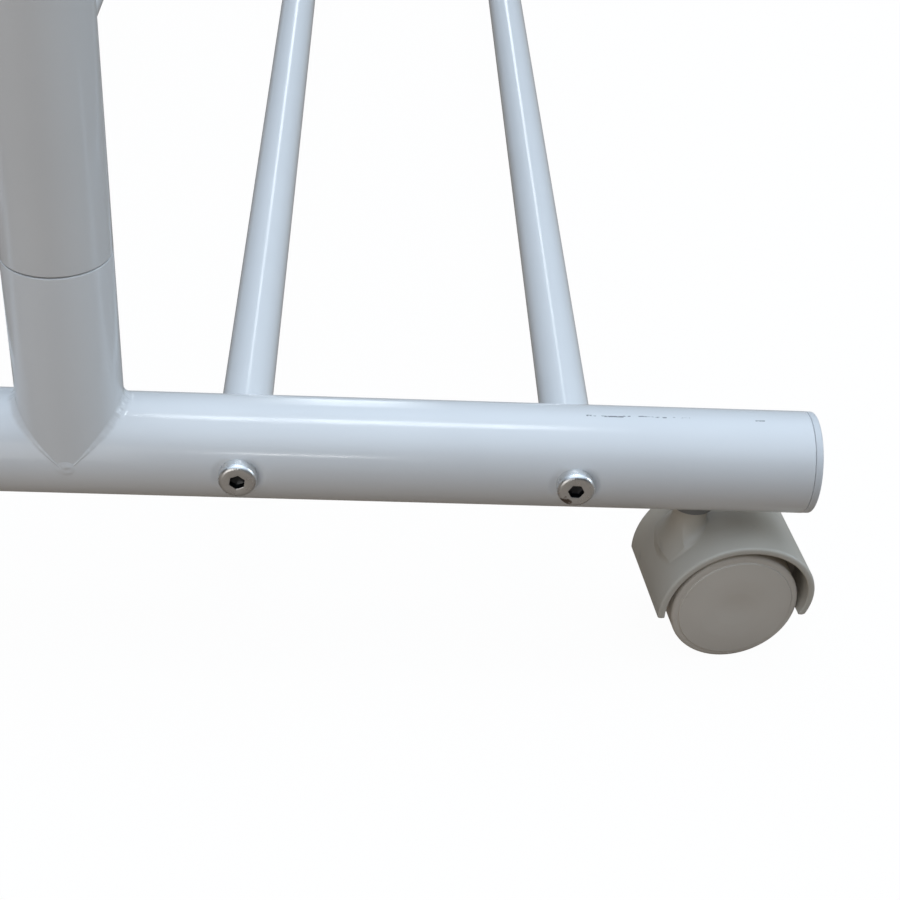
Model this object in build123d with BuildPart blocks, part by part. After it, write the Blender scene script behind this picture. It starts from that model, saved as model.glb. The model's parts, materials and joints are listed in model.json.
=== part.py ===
from build123d import *
import os
from math import cos, radians, sin, sqrt

os.makedirs("parts", exist_ok=True)

# A rolling clothes rack. X runs along the rack's width, Y along its feet, Z up.
# The origin is on the floor, below the middle of the rack. All sizes are in millimetres.

# Overall sizes
foot_spacing = 980.0           # between the axes of the two feet
foot_overall = 544.0           # length of a foot, end plugs included
rest_height = 1500.0           # floor to the top of the screws in the hanging rail
hanging_overhang = 65.0        # hanging rail past each post's axis, end caps included
inner_exposed = 525.0          # top of the lower post to the top of the rack, at rest

# Tubes
tube_od = 38.0                 # foot, stub and lower post
tube_wall = 1.5
inner_od = 32.0                # telescopic inner post
inner_wall = 1.2
hanging_od = 32.0
hanging_wall = 1.5
rail_od = 19.0                 # bottom rails
rail_wall = 1.2
rail_count = 4
rail_from_caster = 47.9        # outer rail's axis from the casters' stem axes
seam_rise = 79.0               # stub's top above the foot's axis
weld_leg = 2.4
weld_reach = 0.84              # share of the tube's radius where the bead dies out
weld_side = 0.15               # bead height where it meets the side of the tubes
slide_up = 250.0
post_engagement = 95.0         # inner post left inside the lower post at full height

# Fits
press_gap = 0.02               # between pressed pieces, on the radius
running_gap = 0.05             # between a shaft and its hole, on the radius
seat_gap = 0.3                 # between faces that only face each other
weld_gap = 0.1                 # root gap of a coped tube end

# Screws
screw_d = 6.0
head_d = 13.0
head_h = 4.0
head_round = 1.2
socket_af = 5.0
socket_depth = 2.6
screw_point = 0.6              # chamfer at a screw's end
hole_gap = 0.25                # clearance hole, on the radius
dimple_gap = 0.3               # pressed seat in a tube round a screw head, on the radius

# Rail nut plugs, end plugs and end caps
nut_plug_length = 20.0
nut_plug_setback = 0.5
plug_lip = 3.4
plug_depth = 17.0
plug_wall = 2.0
plug_dome = 0.7

# Spigots between stub and lower post
spigot_below = 48.0
spigot_above = 60.0
spigot_wall = 2.5
lock_rise = 30.0               # lock screw above the seam
lock_head_d = 11.0
lock_head_h = 3.0
lock_socket_depth = 1.8
lock_past_spigot = 2.0

# Casters
wheel_r = 25.0
caster_drop = 38.0             # wheel axle to the underside of the foot
caster_inset = 42.3            # stem's axis from the foot's overall end
caster_trail = 17.0            # stem's axis to the axle
hood_gap = 2.8
hood_wall = 2.8
hood_width = 44.0
hood_shift = -0.2              # hood's centre past the axle, away from the stem
hood_skirt = 2.5               # hood's edge below the axle
web_width = 11.0
hub_r = 7.5
boss_r = 7.5
axle_r = 3.0
axle_half = 18.0
groove_at = 15.7               # retaining groove from the middle of the axle
groove_width = 1.6
groove_depth = 0.4
wheel_inner = 6.0              # inner edge of a wheel from the middle of the axle
wheel_face = 21.0              # outer face of a wheel from the middle of the axle
wheel_wall = 2.8
wheel_edge = 1.5               # rounding of a wheel's outer edge
wheel_bevel = 1.0              # chamfer of its inner edge
face_rim = 2.5                 # flat rim of the face, measured in from the tread
face_step = 0.6                # face at its edge, below the rim
face_step_run = 0.4
face_crown = 0.2               # face at its crown, below the rim
face_dip = 0.8                 # dip in the middle of the face, below the rim
face_dip_r = 3.6
wheel_hub_r = 6.5
wheel_ribs = 6
rib_thickness = 1.4
rib_setback = 3.0              # a rib's edge from the wheel's inner edge
rib_root = 0.5                 # how far a rib runs into the disc and the rim
hood_edge = 1.0
journal_r = 4.0
stem_r = 5.5
stem_rise = 29.0               # grip neck above the foot's underside
stem_point = 0.5               # chamfer at the journal's end
neck_point = 1.5               # chamfer at the neck's end
shoulder_r = 6.5
shoulder_h = 1.0
socket_r = 7.2
socket_flange_r = 8.5
socket_flange_h = 0.8
ring_below_top = 6.5           # middle of the grip ring below the neck's top
ring_width = 2.8
ring_thickness = 1.1
ring_slot = 2.5
ring_stand = 0.3               # how far the grip ring stands out of the neck
ring_play = 0.1                # between a ring and each side of its groove
clip_stand = 0.45              # how far the clip stands out of the journal
clip_above_end = 2.6           # middle of the stem clip above the stem's lower end
clip_width = 1.0
clip_thickness = 1.0
stem_drop = 25.0               # journal's lower end below the foot's underside

# Telescope collar, clamp and guide
collar_skirt = 30.0
collar_neck = 25.0
collar_wall = 3.0
collar_lead = 2.0
clamp_boss_root = 18.0         # where the boss starts, inside the neck, from the post's axis
clamp_boss_r = 11.0
clamp_boss_end = 37.5          # from the post's axis
pad_r = 6.0
pad_end = 20.3                 # from the post's axis
clamp_travel = 2.5
clamp_screw_r = 3.95
clamp_nut_r = 6.5
clamp_nut_length = 10.0
knob_start = 41.0              # from the post's axis
knob_hub_r = 9.0
knob_hub_h = 3.0
knob_h = 14.0
knob_core_r = 14.0
knob_lobe_r = 5.0
knob_lobe_ring = 12.5
knob_lobes = 5
knob_edge = 1.5
knob_cover = 3.0               # knob's face over the end of the clamp screw
bush_flange_h = 12.0
bush_plug_h = 25.0
bush_bore_r = 10.0

# Saddles under the hanging rail
saddle_flange = 6.0            # inner post's top to the lowest point of the hanging rail's seat
saddle_cradle = 9.0            # how far the saddle rises past that point
saddle_plug_h = 25.0
top_nut_af = 10.0
top_nut_h = 5.0

# Places that follow from the sizes above
tube_r = tube_od / 2
inner_r = inner_od / 2
hanging_r = hanging_od / 2
rail_r = rail_od / 2
head_r = head_d / 2
screw_r = screw_d / 2
dimple_r = head_r + dimple_gap
foot_z = wheel_r + caster_drop + tube_r
foot_bottom_z = foot_z - tube_r
seam_z = foot_z + seam_rise
post_top_z = rest_height - inner_exposed
hanging_seat_r = sqrt(hanging_r**2 - dimple_r**2)
hanging_z = rest_height - head_h - hanging_seat_r
inner_top_z = hanging_z - hanging_r - saddle_flange
inner_bottom_z = post_top_z - post_engagement - slide_up
caster_y = foot_overall / 2 - caster_inset
rail_pitch = 2 * (caster_y - rail_from_caster) / (rail_count - 1)
rail_places = [rail_pitch * (n - (rail_count - 1) / 2) for n in range(rail_count)]
clamp_z = post_top_z + collar_neck / 2
boss_top_z = foot_bottom_z - socket_flange_h - shoulder_h - seat_gap
stem_end_z = foot_bottom_z - stem_drop
neck_top_z = foot_bottom_z + stem_rise
grip_ring_z = neck_top_z - ring_below_top
stem_clip_z = stem_end_z + clip_above_end
hood_inner_r = wheel_r + hood_gap
hood_outer_r = hood_inner_r + hood_wall
round_inset = 1 - sqrt(0.5)    # share of its radius by which a rounded corner's middle is cut back

sides = {"left": -1, "right": 1}
ends = {"front": -1, "back": 1}
# Direction in which each caster trails at rest, in degrees from +X towards +Y
trail_angles = {
    ("right", "back"): 97.0,
    ("left", "back"): 86.0,
    ("right", "front"): -87.0,
    ("left", "front"): -97.0,
}


def save(part, name):
    """Label a finished piece and write it."""
    part.label = name
    export_step(part, f"parts/{name}.step")


def foot_x(side):
    return sides[side] * foot_spacing / 2


def along_y(x, y, z):
    """A plane whose normal is +Y, with its x along X."""
    return Plane(origin=(x, y, z), x_dir=(1, 0, 0), z_dir=(0, 1, 0))


def outward(side, z):
    """A plane at a post's or foot's axis that faces away from the rack, with its x along Y."""
    return Plane(origin=(foot_x(side), 0, z), x_dir=(0, 1, 0), z_dir=(sides[side], 0, 0))


def screw_section(length, head_radius, head_height):
    """Half section of a domed socket screw, with its seat at the origin and its head towards +Y."""
    with BuildSketch(Plane.XY, mode=Mode.PRIVATE) as section:
        with BuildLine():
            Polyline(
                (0, -length),
                (screw_r - screw_point, -length),
                (screw_r, -length + screw_point),
                (screw_r, 0),
                (head_radius, 0),
                (head_radius, head_height - head_round),
            )
            ThreePointArc(
                (head_radius, head_height - head_round),
                (head_radius - head_round * round_inset, head_height - head_round * round_inset),
                (head_radius - head_round, head_height),
            )
            Polyline(
                (head_radius - head_round, head_height),
                (0, head_height),
                (0, -length),
            )
        make_face()
    return section.sketch_local


def plug_section(radius, wall):
    """Half section of a tube's end plug, with the tube's mouth at the origin and its lip towards +Y."""
    body_r = radius - wall - running_gap
    with BuildSketch(Plane.XY, mode=Mode.PRIVATE) as section:
        with BuildLine():
            Polyline(
                (0, plug_lip),
                (0, -plug_wall),
                (body_r - plug_wall, -plug_wall),
                (body_r - plug_wall, -plug_depth),
                (body_r, -plug_depth),
                (body_r, 0),
                (radius, 0),
                (radius, plug_lip - plug_dome),
            )
            TangentArc((0, plug_lip), (radius, plug_lip - plug_dome), tangent=(1, 0))
        make_face()
    return section.sketch_local


# Feet: each has a pressed seat for every rail screw and a hole for each caster socket.
foot_length = foot_overall - 2 * plug_lip
foot_seat = sqrt(tube_r**2 - dimple_r**2)
for side in sides:
    with BuildPart() as foot_bore:
        with BuildSketch(along_y(foot_x(side), -foot_length / 2, foot_z)):
            Circle(tube_r - tube_wall)
        extrude(amount=foot_length)
        with BuildSketch(outward(side, foot_z).offset(foot_seat - tube_wall)):
            with Locations(*[(y, 0) for y in rail_places]):
                Circle(dimple_r + tube_wall)
        extrude(amount=tube_r, mode=Mode.SUBTRACT)
    with BuildPart() as foot:
        with BuildSketch(along_y(foot_x(side), -foot_length / 2, foot_z)):
            Circle(tube_r)
        extrude(amount=foot_length)
        add(foot_bore.part, mode=Mode.SUBTRACT)
        with BuildSketch(outward(side, foot_z).offset(foot_seat)):
            with Locations(*[(y, 0) for y in rail_places]):
                Circle(dimple_r)
        extrude(amount=tube_r, mode=Mode.SUBTRACT)
        with BuildSketch(outward(side, foot_z).offset(-tube_od)):
            with Locations(*[(y, 0) for y in rail_places]):
                Circle(screw_r + hole_gap)
        extrude(amount=2 * tube_od, mode=Mode.SUBTRACT)
        with BuildSketch(Plane.XY.offset(foot_z - tube_od)):
            with Locations((foot_x(side), -caster_y), (foot_x(side), caster_y)):
                Circle(socket_r + press_gap)
        extrude(amount=tube_od, mode=Mode.SUBTRACT)
    save(foot.part, f"foot_{side}")

# Foot end plugs: a domed lip flush with the tube and a hollow body inside it.
with BuildPart() as foot_end_plugs:
    for side in sides:
        for way in ends.values():
            mouth = (foot_x(side), way * foot_length / 2, foot_z)
            with BuildSketch(Plane(origin=mouth, x_dir=(1, 0, 0), z_dir=(0, 0, way))):
                add(plug_section(tube_r, tube_wall))
            revolve(axis=Axis(mouth, (0, 1, 0)))
save(foot_end_plugs.part, "foot_end_plugs")

# Post stubs: coped onto the top of each foot.
for side in sides:
    with BuildPart() as post_stub:
        with BuildSketch(Plane.XY.offset(foot_z)):
            with Locations((foot_x(side), 0)):
                Circle(tube_r)
                Circle(tube_r - tube_wall, mode=Mode.SUBTRACT)
        extrude(amount=seam_rise)
        with BuildSketch(along_y(foot_x(side), -tube_od, foot_z)):
            Circle(tube_r + weld_gap)
        extrude(amount=2 * tube_od, mode=Mode.SUBTRACT)
    save(post_stub.part, f"post_stub_{side}")

# Weld beads: the corner between foot and stub, filled out to an ellipse in the mitre plane.
# Each bead is an arc on the front or the back of its stub, and dies out towards the sides.
weld_arcs = []
for side in sides:
    for way in ends.values():
        with BuildPart() as weld_arc:
            start = (foot_x(side), -way * tube_od, foot_z + tube_od)
            with BuildSketch(Plane(origin=start, x_dir=(1, 0, 0), z_dir=(0, way, -1))):
                Ellipse(tube_r + weld_side, sqrt(2) * (tube_r + weld_leg / 2))
            extrude(amount=2 * sqrt(2) * tube_od)
            with BuildSketch(Plane.XY.offset(foot_z)):
                with Locations((foot_x(side), way * tube_r)):
                    Rectangle(2 * weld_reach * tube_r, tube_od - 2 * weld_leg)
            extrude(amount=tube_od, mode=Mode.INTERSECT)
            with BuildSketch(Plane.XY):
                with Locations((foot_x(side), 0)):
                    Circle(tube_r + press_gap)
            extrude(amount=foot_z + 2 * tube_od, mode=Mode.SUBTRACT)
            with BuildSketch(along_y(foot_x(side), -2 * tube_od, foot_z)):
                Circle(tube_r + press_gap)
            extrude(amount=4 * tube_od, mode=Mode.SUBTRACT)
        weld_arcs.append(weld_arc.part)
with BuildPart() as weld_beads:
    add(weld_arcs)
save(weld_beads.part, "weld_beads")

# Bottom rails: round tubes whose ends are coped onto the inner faces of the feet.
for number, rail_y in enumerate(rail_places, start=1):
    with BuildPart() as bottom_rail:
        with BuildSketch(Plane(origin=(-foot_spacing / 2, rail_y, foot_z), x_dir=(0, 1, 0), z_dir=(1, 0, 0))):
            Circle(rail_r)
            Circle(rail_r - rail_wall, mode=Mode.SUBTRACT)
        extrude(amount=foot_spacing)
        for side in sides:
            with BuildSketch(along_y(foot_x(side), rail_y - rail_od, foot_z)):
                Circle(tube_r + weld_gap)
            extrude(amount=2 * rail_od, mode=Mode.SUBTRACT)
    save(bottom_rail.part, f"bottom_rail_{number}")

# Rail nut plugs and rail screws: one pair at each end of each rail.
plug_outer_x = foot_spacing / 2 - tube_r - nut_plug_setback
with BuildPart() as rail_nut_plugs:
    for side in sides:
        with BuildSketch(outward(side, foot_z).offset(plug_outer_x - foot_spacing / 2)):
            with Locations(*[(y, 0) for y in rail_places]):
                Circle(rail_r - rail_wall - press_gap)
                Circle(screw_r + running_gap, mode=Mode.SUBTRACT)
        extrude(amount=-nut_plug_length)
save(rail_nut_plugs.part, "rail_nut_plugs")

rail_screw_length = foot_seat + tube_r + nut_plug_setback + nut_plug_length
with BuildPart() as rail_screws:
    for side in sides:
        for rail_y in rail_places:
            seat = (foot_x(side) + sides[side] * foot_seat, rail_y, foot_z)
            with BuildSketch(Plane(origin=seat, x_dir=(0, 1, 0), z_dir=(0, 0, -sides[side]))):
                add(screw_section(rail_screw_length, head_r, head_h))
            revolve(axis=Axis(seat, (1, 0, 0)))
        with BuildSketch(outward(side, foot_z).offset(foot_seat + head_h - socket_depth)):
            with Locations(*[(y, 0) for y in rail_places]):
                RegularPolygon(socket_af / 2, 6, major_radius=False)
        extrude(amount=socket_depth, mode=Mode.SUBTRACT)
save(rail_screws.part, "rail_screws")

# Spigots: short tubes that join each stub to its lower post.
with BuildPart() as post_spigots:
    with BuildSketch(Plane.XY.offset(seam_z - spigot_below)):
        with Locations(*[(foot_x(side), 0) for side in sides]):
            Circle(tube_r - tube_wall - press_gap)
            Circle(tube_r - tube_wall - press_gap - spigot_wall, mode=Mode.SUBTRACT)
    extrude(amount=spigot_below + spigot_above)
    with BuildSketch(Plane(origin=(-foot_spacing, 0, seam_z + lock_rise), x_dir=(0, 1, 0), z_dir=(1, 0, 0))):
        Circle(screw_r + running_gap)
    extrude(until=Until.LAST, mode=Mode.SUBTRACT)
save(post_spigots.part, "post_spigots")

# Lower posts: plain tubes with one hole for the lock screw, on the side that faces inward.
for side in sides:
    with BuildPart() as lower_post:
        with BuildSketch(Plane.XY.offset(seam_z)):
            with Locations((foot_x(side), 0)):
                Circle(tube_r)
                Circle(tube_r - tube_wall, mode=Mode.SUBTRACT)
        extrude(amount=post_top_z - seam_z)
        with BuildSketch(outward(side, seam_z + lock_rise)):
            Circle(screw_r + hole_gap)
        extrude(amount=-tube_od, mode=Mode.SUBTRACT)
    save(lower_post.part, f"lower_post_{side}")

# Post lock screws: from the inner side of each post into its spigot.
lock_length = tube_wall + spigot_wall + lock_past_spigot
with BuildPart() as post_lock_screws:
    for side in sides:
        seat = (foot_x(side) - sides[side] * tube_r, 0, seam_z + lock_rise)
        with BuildSketch(Plane(origin=seat, x_dir=(0, 1, 0), z_dir=(0, 0, sides[side]))):
            add(screw_section(lock_length, lock_head_d / 2, lock_head_h))
        revolve(axis=Axis(seat, (1, 0, 0)))
        with BuildSketch(outward(side, seam_z + lock_rise).offset(-tube_r - lock_head_h)):
            RegularPolygon(socket_af / 2, 6, major_radius=False)
        extrude(amount=lock_socket_depth, mode=Mode.SUBTRACT)
save(post_lock_screws.part, "post_lock_screws")

# Collars: a skirt over the lower post, a neck that guides the inner post and a clamp boss.
collar_r = tube_r + collar_wall
for side in sides:
    with BuildPart() as collar:
        with BuildSketch(Plane(origin=(foot_x(side), 0, post_top_z), x_dir=(1, 0, 0), z_dir=(0, -1, 0))):
            with BuildLine():
                Polyline(
                    (tube_r + press_gap, -collar_skirt),
                    (collar_r, -collar_skirt),
                    (collar_r, collar_neck - collar_lead),
                    (collar_r - collar_lead, collar_neck),
                    (inner_r + running_gap, collar_neck),
                    (inner_r + running_gap, press_gap),
                    (tube_r + press_gap, press_gap),
                    close=True,
                )
            make_face()
        revolve(axis=Axis((foot_x(side), 0, 0), (0, 0, 1)))
        with BuildSketch(outward(side, clamp_z).offset(clamp_boss_root)):
            Circle(clamp_boss_r)
        extrude(amount=clamp_boss_end - clamp_boss_root)
        with BuildSketch(outward(side, clamp_z)):
            Circle(pad_r + running_gap)
        extrude(amount=pad_end + clamp_travel + seat_gap, mode=Mode.SUBTRACT)
        with BuildSketch(outward(side, clamp_z)):
            Circle(clamp_screw_r + 2 * seat_gap)
        extrude(amount=clamp_boss_end, mode=Mode.SUBTRACT)
        with BuildSketch(outward(side, clamp_z).offset(clamp_boss_end)):
            Circle(clamp_nut_r + press_gap)
        extrude(amount=-clamp_nut_length, mode=Mode.SUBTRACT)
    save(collar.part, f"collar_{side}")

# Brass insert nuts in the clamp bosses.
with BuildPart() as clamp_nuts:
    for side in sides:
        with BuildSketch(outward(side, clamp_z).offset(clamp_boss_end)):
            Circle(clamp_nut_r)
            Circle(clamp_screw_r + running_gap, mode=Mode.SUBTRACT)
        extrude(amount=-clamp_nut_length + press_gap)
save(clamp_nuts.part, "clamp_nuts")

# Clamp pads, screws and knobs.
screw_start = pad_end + running_gap
screw_stop = knob_start + knob_hub_h + knob_h - knob_cover
for side in sides:
    inner_face, outer_face = (0, -1) if side == "right" else (-1, 0)
    with BuildPart() as clamp_pad:
        with BuildSketch(outward(side, clamp_z)):
            Circle(pad_r)
        extrude(amount=pad_end)
        with BuildSketch(Plane.XY.offset(clamp_z - tube_od)):
            with Locations((foot_x(side), 0)):
                Circle(inner_r + 2 * running_gap)
        extrude(amount=2 * tube_od, mode=Mode.SUBTRACT)
    save(clamp_pad.part, f"clamp_pad_{side}")

    with BuildPart() as clamp_screw:
        with BuildSketch(outward(side, clamp_z).offset(screw_start)):
            Circle(clamp_screw_r)
        extrude(amount=screw_stop - screw_start)
        chamfer(clamp_screw.faces().sort_by(Axis.X)[inner_face].edges(), screw_point)
    save(clamp_screw.part, f"clamp_screw_{side}")

    with BuildPart() as clamp_knob:
        with BuildSketch(outward(side, clamp_z).offset(knob_start + knob_hub_h)):
            Circle(knob_core_r)
            with PolarLocations(knob_lobe_ring, knob_lobes):
                Circle(knob_lobe_r)
        extrude(amount=knob_h)
        knob_face = clamp_knob.faces().filter_by(Axis.X).sort_by(Axis.X)[outer_face]
        fillet(knob_face.edges(), knob_edge)
        with BuildSketch(outward(side, clamp_z).offset(knob_start)):
            Circle(knob_hub_r)
        extrude(amount=knob_hub_h)
        with BuildSketch(outward(side, clamp_z).offset(knob_start)):
            Circle(clamp_screw_r + press_gap)
        extrude(amount=screw_stop - knob_start + press_gap, mode=Mode.SUBTRACT)
    save(clamp_knob.part, f"clamp_knob_{side}")

# Inner posts: slide in the lower posts.
for side in sides:
    with BuildPart() as inner_post:
        with BuildSketch(Plane.XY.offset(inner_bottom_z)):
            with Locations((foot_x(side), 0)):
                Circle(inner_r)
                Circle(inner_r - inner_wall, mode=Mode.SUBTRACT)
        extrude(amount=inner_top_z - inner_bottom_z)
    save(inner_post.part, f"inner_post_{side}")

# Guide bushes: plugged into the foot of each inner post, running in the lower post.
with BuildPart() as post_guide_bushes:
    with BuildSketch(Plane.XY.offset(inner_bottom_z - bush_flange_h)):
        with Locations(*[(foot_x(side), 0) for side in sides]):
            Circle(tube_r - tube_wall - running_gap)
    extrude(amount=bush_flange_h)
    with BuildSketch(Plane.XY.offset(inner_bottom_z)):
        with Locations(*[(foot_x(side), 0) for side in sides]):
            Circle(inner_r - inner_wall - press_gap)
    extrude(amount=bush_plug_h)
    with BuildSketch(Plane.XY.offset(inner_bottom_z - bush_flange_h)):
        with Locations(*[(foot_x(side), 0) for side in sides]):
            Circle(bush_bore_r)
    extrude(amount=bush_flange_h + bush_plug_h, mode=Mode.SUBTRACT)
save(post_guide_bushes.part, "post_guide_bushes")

# Hanging rail: one tube across both posts, with a pressed seat for each top screw.
hanging_overall = foot_spacing + 2 * hanging_overhang
hanging_length = hanging_overall - 2 * plug_lip
rail_start = Plane(origin=(-hanging_length / 2, 0, hanging_z), x_dir=(0, 1, 0), z_dir=(1, 0, 0))
with BuildPart() as hanging_bore:
    with BuildSketch(rail_start):
        Circle(hanging_r - hanging_wall)
    extrude(amount=hanging_length)
    with BuildSketch(Plane.XY.offset(hanging_z + hanging_seat_r - hanging_wall)):
        with Locations(*[(foot_x(side), 0) for side in sides]):
            Circle(dimple_r + hanging_wall)
    extrude(amount=hanging_r, mode=Mode.SUBTRACT)
with BuildPart() as hanging_rail:
    with BuildSketch(rail_start):
        Circle(hanging_r)
    extrude(amount=hanging_length)
    add(hanging_bore.part, mode=Mode.SUBTRACT)
    with BuildSketch(Plane.XY.offset(hanging_z + hanging_seat_r)):
        with Locations(*[(foot_x(side), 0) for side in sides]):
            Circle(dimple_r)
    extrude(amount=hanging_r, mode=Mode.SUBTRACT)
    with BuildSketch(Plane.XY.offset(hanging_z - hanging_od)):
        with Locations(*[(foot_x(side), 0) for side in sides]):
            Circle(screw_r + hole_gap)
    extrude(amount=2 * hanging_od, mode=Mode.SUBTRACT)
save(hanging_rail.part, "hanging_rail")

# Hanging rail end caps: the same form as the foot end plugs.
with BuildPart() as hanging_rail_end_caps:
    for way in sides.values():
        mouth = (way * hanging_length / 2, 0, hanging_z)
        with BuildSketch(Plane(origin=mouth, x_dir=(0, 1, 0), z_dir=(0, 0, -way))):
            add(plug_section(hanging_r, hanging_wall))
        revolve(axis=Axis(mouth, (1, 0, 0)))
save(hanging_rail_end_caps.part, "hanging_rail_end_caps")

# Saddles: plugged into the top of each inner post, cradling the hanging rail.
with BuildPart() as rail_saddles:
    with BuildSketch(Plane.XY.offset(inner_top_z)):
        with Locations(*[(foot_x(side), 0) for side in sides]):
            Circle(inner_r)
    extrude(amount=saddle_flange + saddle_cradle)
    with BuildSketch(Plane.XY.offset(inner_top_z)):
        with Locations(*[(foot_x(side), 0) for side in sides]):
            Circle(inner_r - inner_wall - press_gap)
    extrude(amount=-saddle_plug_h)
    with BuildSketch(rail_start):
        Circle(hanging_r + running_gap)
    extrude(amount=hanging_length, mode=Mode.SUBTRACT)
    with BuildSketch(Plane.XY.offset(inner_top_z - saddle_plug_h)):
        with Locations(*[(foot_x(side), 0) for side in sides]):
            Circle(screw_r + hole_gap)
    extrude(amount=2 * saddle_plug_h, mode=Mode.SUBTRACT)
    with BuildSketch(Plane.XY.offset(inner_top_z - saddle_plug_h)):
        with Locations(*[(foot_x(side), 0) for side in sides]):
            RegularPolygon(top_nut_af / 2 + press_gap, 6, major_radius=False)
    extrude(amount=top_nut_h + press_gap, mode=Mode.SUBTRACT)
save(rail_saddles.part, "rail_saddles")

# Top nuts, trapped in the saddles, and the screws that hold the hanging rail down.
with BuildPart() as top_nuts:
    with BuildSketch(Plane.XY.offset(inner_top_z - saddle_plug_h)):
        with Locations(*[(foot_x(side), 0) for side in sides]):
            RegularPolygon(top_nut_af / 2, 6, major_radius=False)
            Circle(screw_r + running_gap, mode=Mode.SUBTRACT)
    extrude(amount=top_nut_h)
save(top_nuts.part, "top_nuts")

top_screw_length = hanging_z + hanging_seat_r - inner_top_z + saddle_plug_h
with BuildPart() as top_screws:
    for side in sides:
        seat = (foot_x(side), 0, hanging_z + hanging_seat_r)
        with BuildSketch(Plane(origin=seat, x_dir=(1, 0, 0), z_dir=(0, -1, 0))):
            add(screw_section(top_screw_length, head_r, head_h))
        revolve(axis=Axis(seat, (0, 0, 1)))
    with BuildSketch(Plane.XY.offset(rest_height - socket_depth)):
        with Locations(*[(foot_x(side), 0) for side in sides]):
            RegularPolygon(socket_af / 2, 6, major_radius=False)
    extrude(amount=socket_depth, mode=Mode.SUBTRACT)
save(top_screws.part, "top_screws")

# Caster sockets: flanged sleeves pressed up into each foot, with a groove for the grip ring.
socket_top_z = foot_z + sqrt((tube_r - tube_wall) ** 2 - socket_r**2) - seat_gap
caster_places = [(foot_x(side), ends[end] * caster_y) for side in sides for end in ends]
with BuildPart() as caster_sockets:
    with BuildSketch(Plane.XY.offset(foot_bottom_z - socket_flange_h)):
        with Locations(*caster_places):
            Circle(socket_flange_r)
    extrude(amount=socket_flange_h + tube_r / 4)
    for side in sides:
        with BuildSketch(along_y(foot_x(side), -foot_length / 2, foot_z)):
            Circle(tube_r + press_gap)
        extrude(amount=foot_length, mode=Mode.SUBTRACT)
    with BuildSketch(Plane.XY.offset(foot_bottom_z - socket_flange_h)):
        with Locations(*caster_places):
            Circle(socket_r)
    extrude(amount=socket_top_z - foot_bottom_z + socket_flange_h)
    with BuildSketch(Plane.XY.offset(foot_bottom_z - socket_flange_h)):
        with Locations(*caster_places):
            Circle(stem_r + running_gap)
    extrude(amount=neck_top_z + seat_gap - foot_bottom_z + socket_flange_h, mode=Mode.SUBTRACT)
    with BuildSketch(Plane.XY.offset(grip_ring_z - ring_width / 2 - 2 * ring_play)):
        with Locations(*caster_places):
            Circle(stem_r + ring_stand + ring_play)
    extrude(amount=ring_width + 4 * ring_play, mode=Mode.SUBTRACT)
save(caster_sockets.part, "caster_sockets")

# Caster stems: a grip neck in the socket, a shoulder, and a journal that the housing turns on.
ring_inner_r = stem_r + ring_stand - ring_thickness
clip_inner_r = journal_r + clip_stand - clip_thickness
shoulder_top = foot_bottom_z - socket_flange_h
with BuildPart() as caster_stems:
    for x, y in caster_places:
        with BuildSketch(Plane(origin=(x, y, 0), x_dir=(1, 0, 0), z_dir=(0, -1, 0))):
            Polygon(
                (0, stem_end_z),
                (journal_r - stem_point, stem_end_z),
                (journal_r, stem_end_z + stem_point),
                (journal_r, stem_clip_z - clip_width / 2 - ring_play),
                (clip_inner_r - running_gap, stem_clip_z - clip_width / 2 - ring_play),
                (clip_inner_r - running_gap, stem_clip_z + clip_width / 2 + ring_play),
                (journal_r, stem_clip_z + clip_width / 2 + ring_play),
                (journal_r, shoulder_top - shoulder_h),
                (shoulder_r, shoulder_top - shoulder_h),
                (shoulder_r, shoulder_top),
                (stem_r, shoulder_top),
                (stem_r, grip_ring_z - ring_width / 2 - ring_play),
                (ring_inner_r - running_gap, grip_ring_z - ring_width / 2 - ring_play),
                (ring_inner_r - running_gap, grip_ring_z + ring_width / 2 + ring_play),
                (stem_r, grip_ring_z + ring_width / 2 + ring_play),
                (stem_r, neck_top_z - neck_point),
                (stem_r - neck_point, neck_top_z),
                (0, neck_top_z),
                align=None,
            )
        revolve(axis=Axis((x, y, 0), (0, 0, 1)))
save(caster_stems.part, "caster_stems")

# Grip rings round the necks and spring clips round the journals: both are slit rings.
with BuildPart() as caster_grip_rings:
    with BuildSketch(Plane.XY.offset(grip_ring_z - ring_width / 2)):
        with Locations(*caster_places):
            Circle(ring_inner_r + ring_thickness)
            Circle(ring_inner_r, mode=Mode.SUBTRACT)
            with Locations((stem_r, 0)):
                Rectangle(stem_r, ring_slot, mode=Mode.SUBTRACT)
    extrude(amount=ring_width)
save(caster_grip_rings.part, "caster_grip_rings")

with BuildPart() as caster_stem_clips:
    with BuildSketch(Plane.XY.offset(stem_clip_z - clip_width / 2)):
        with Locations(*caster_places):
            Circle(clip_inner_r + clip_thickness)
            Circle(clip_inner_r, mode=Mode.SUBTRACT)
            with Locations((journal_r, 0)):
                Rectangle(journal_r, ring_slot, mode=Mode.SUBTRACT)
    extrude(amount=clip_width)
save(caster_stem_clips.part, "caster_stem_clips")

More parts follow.
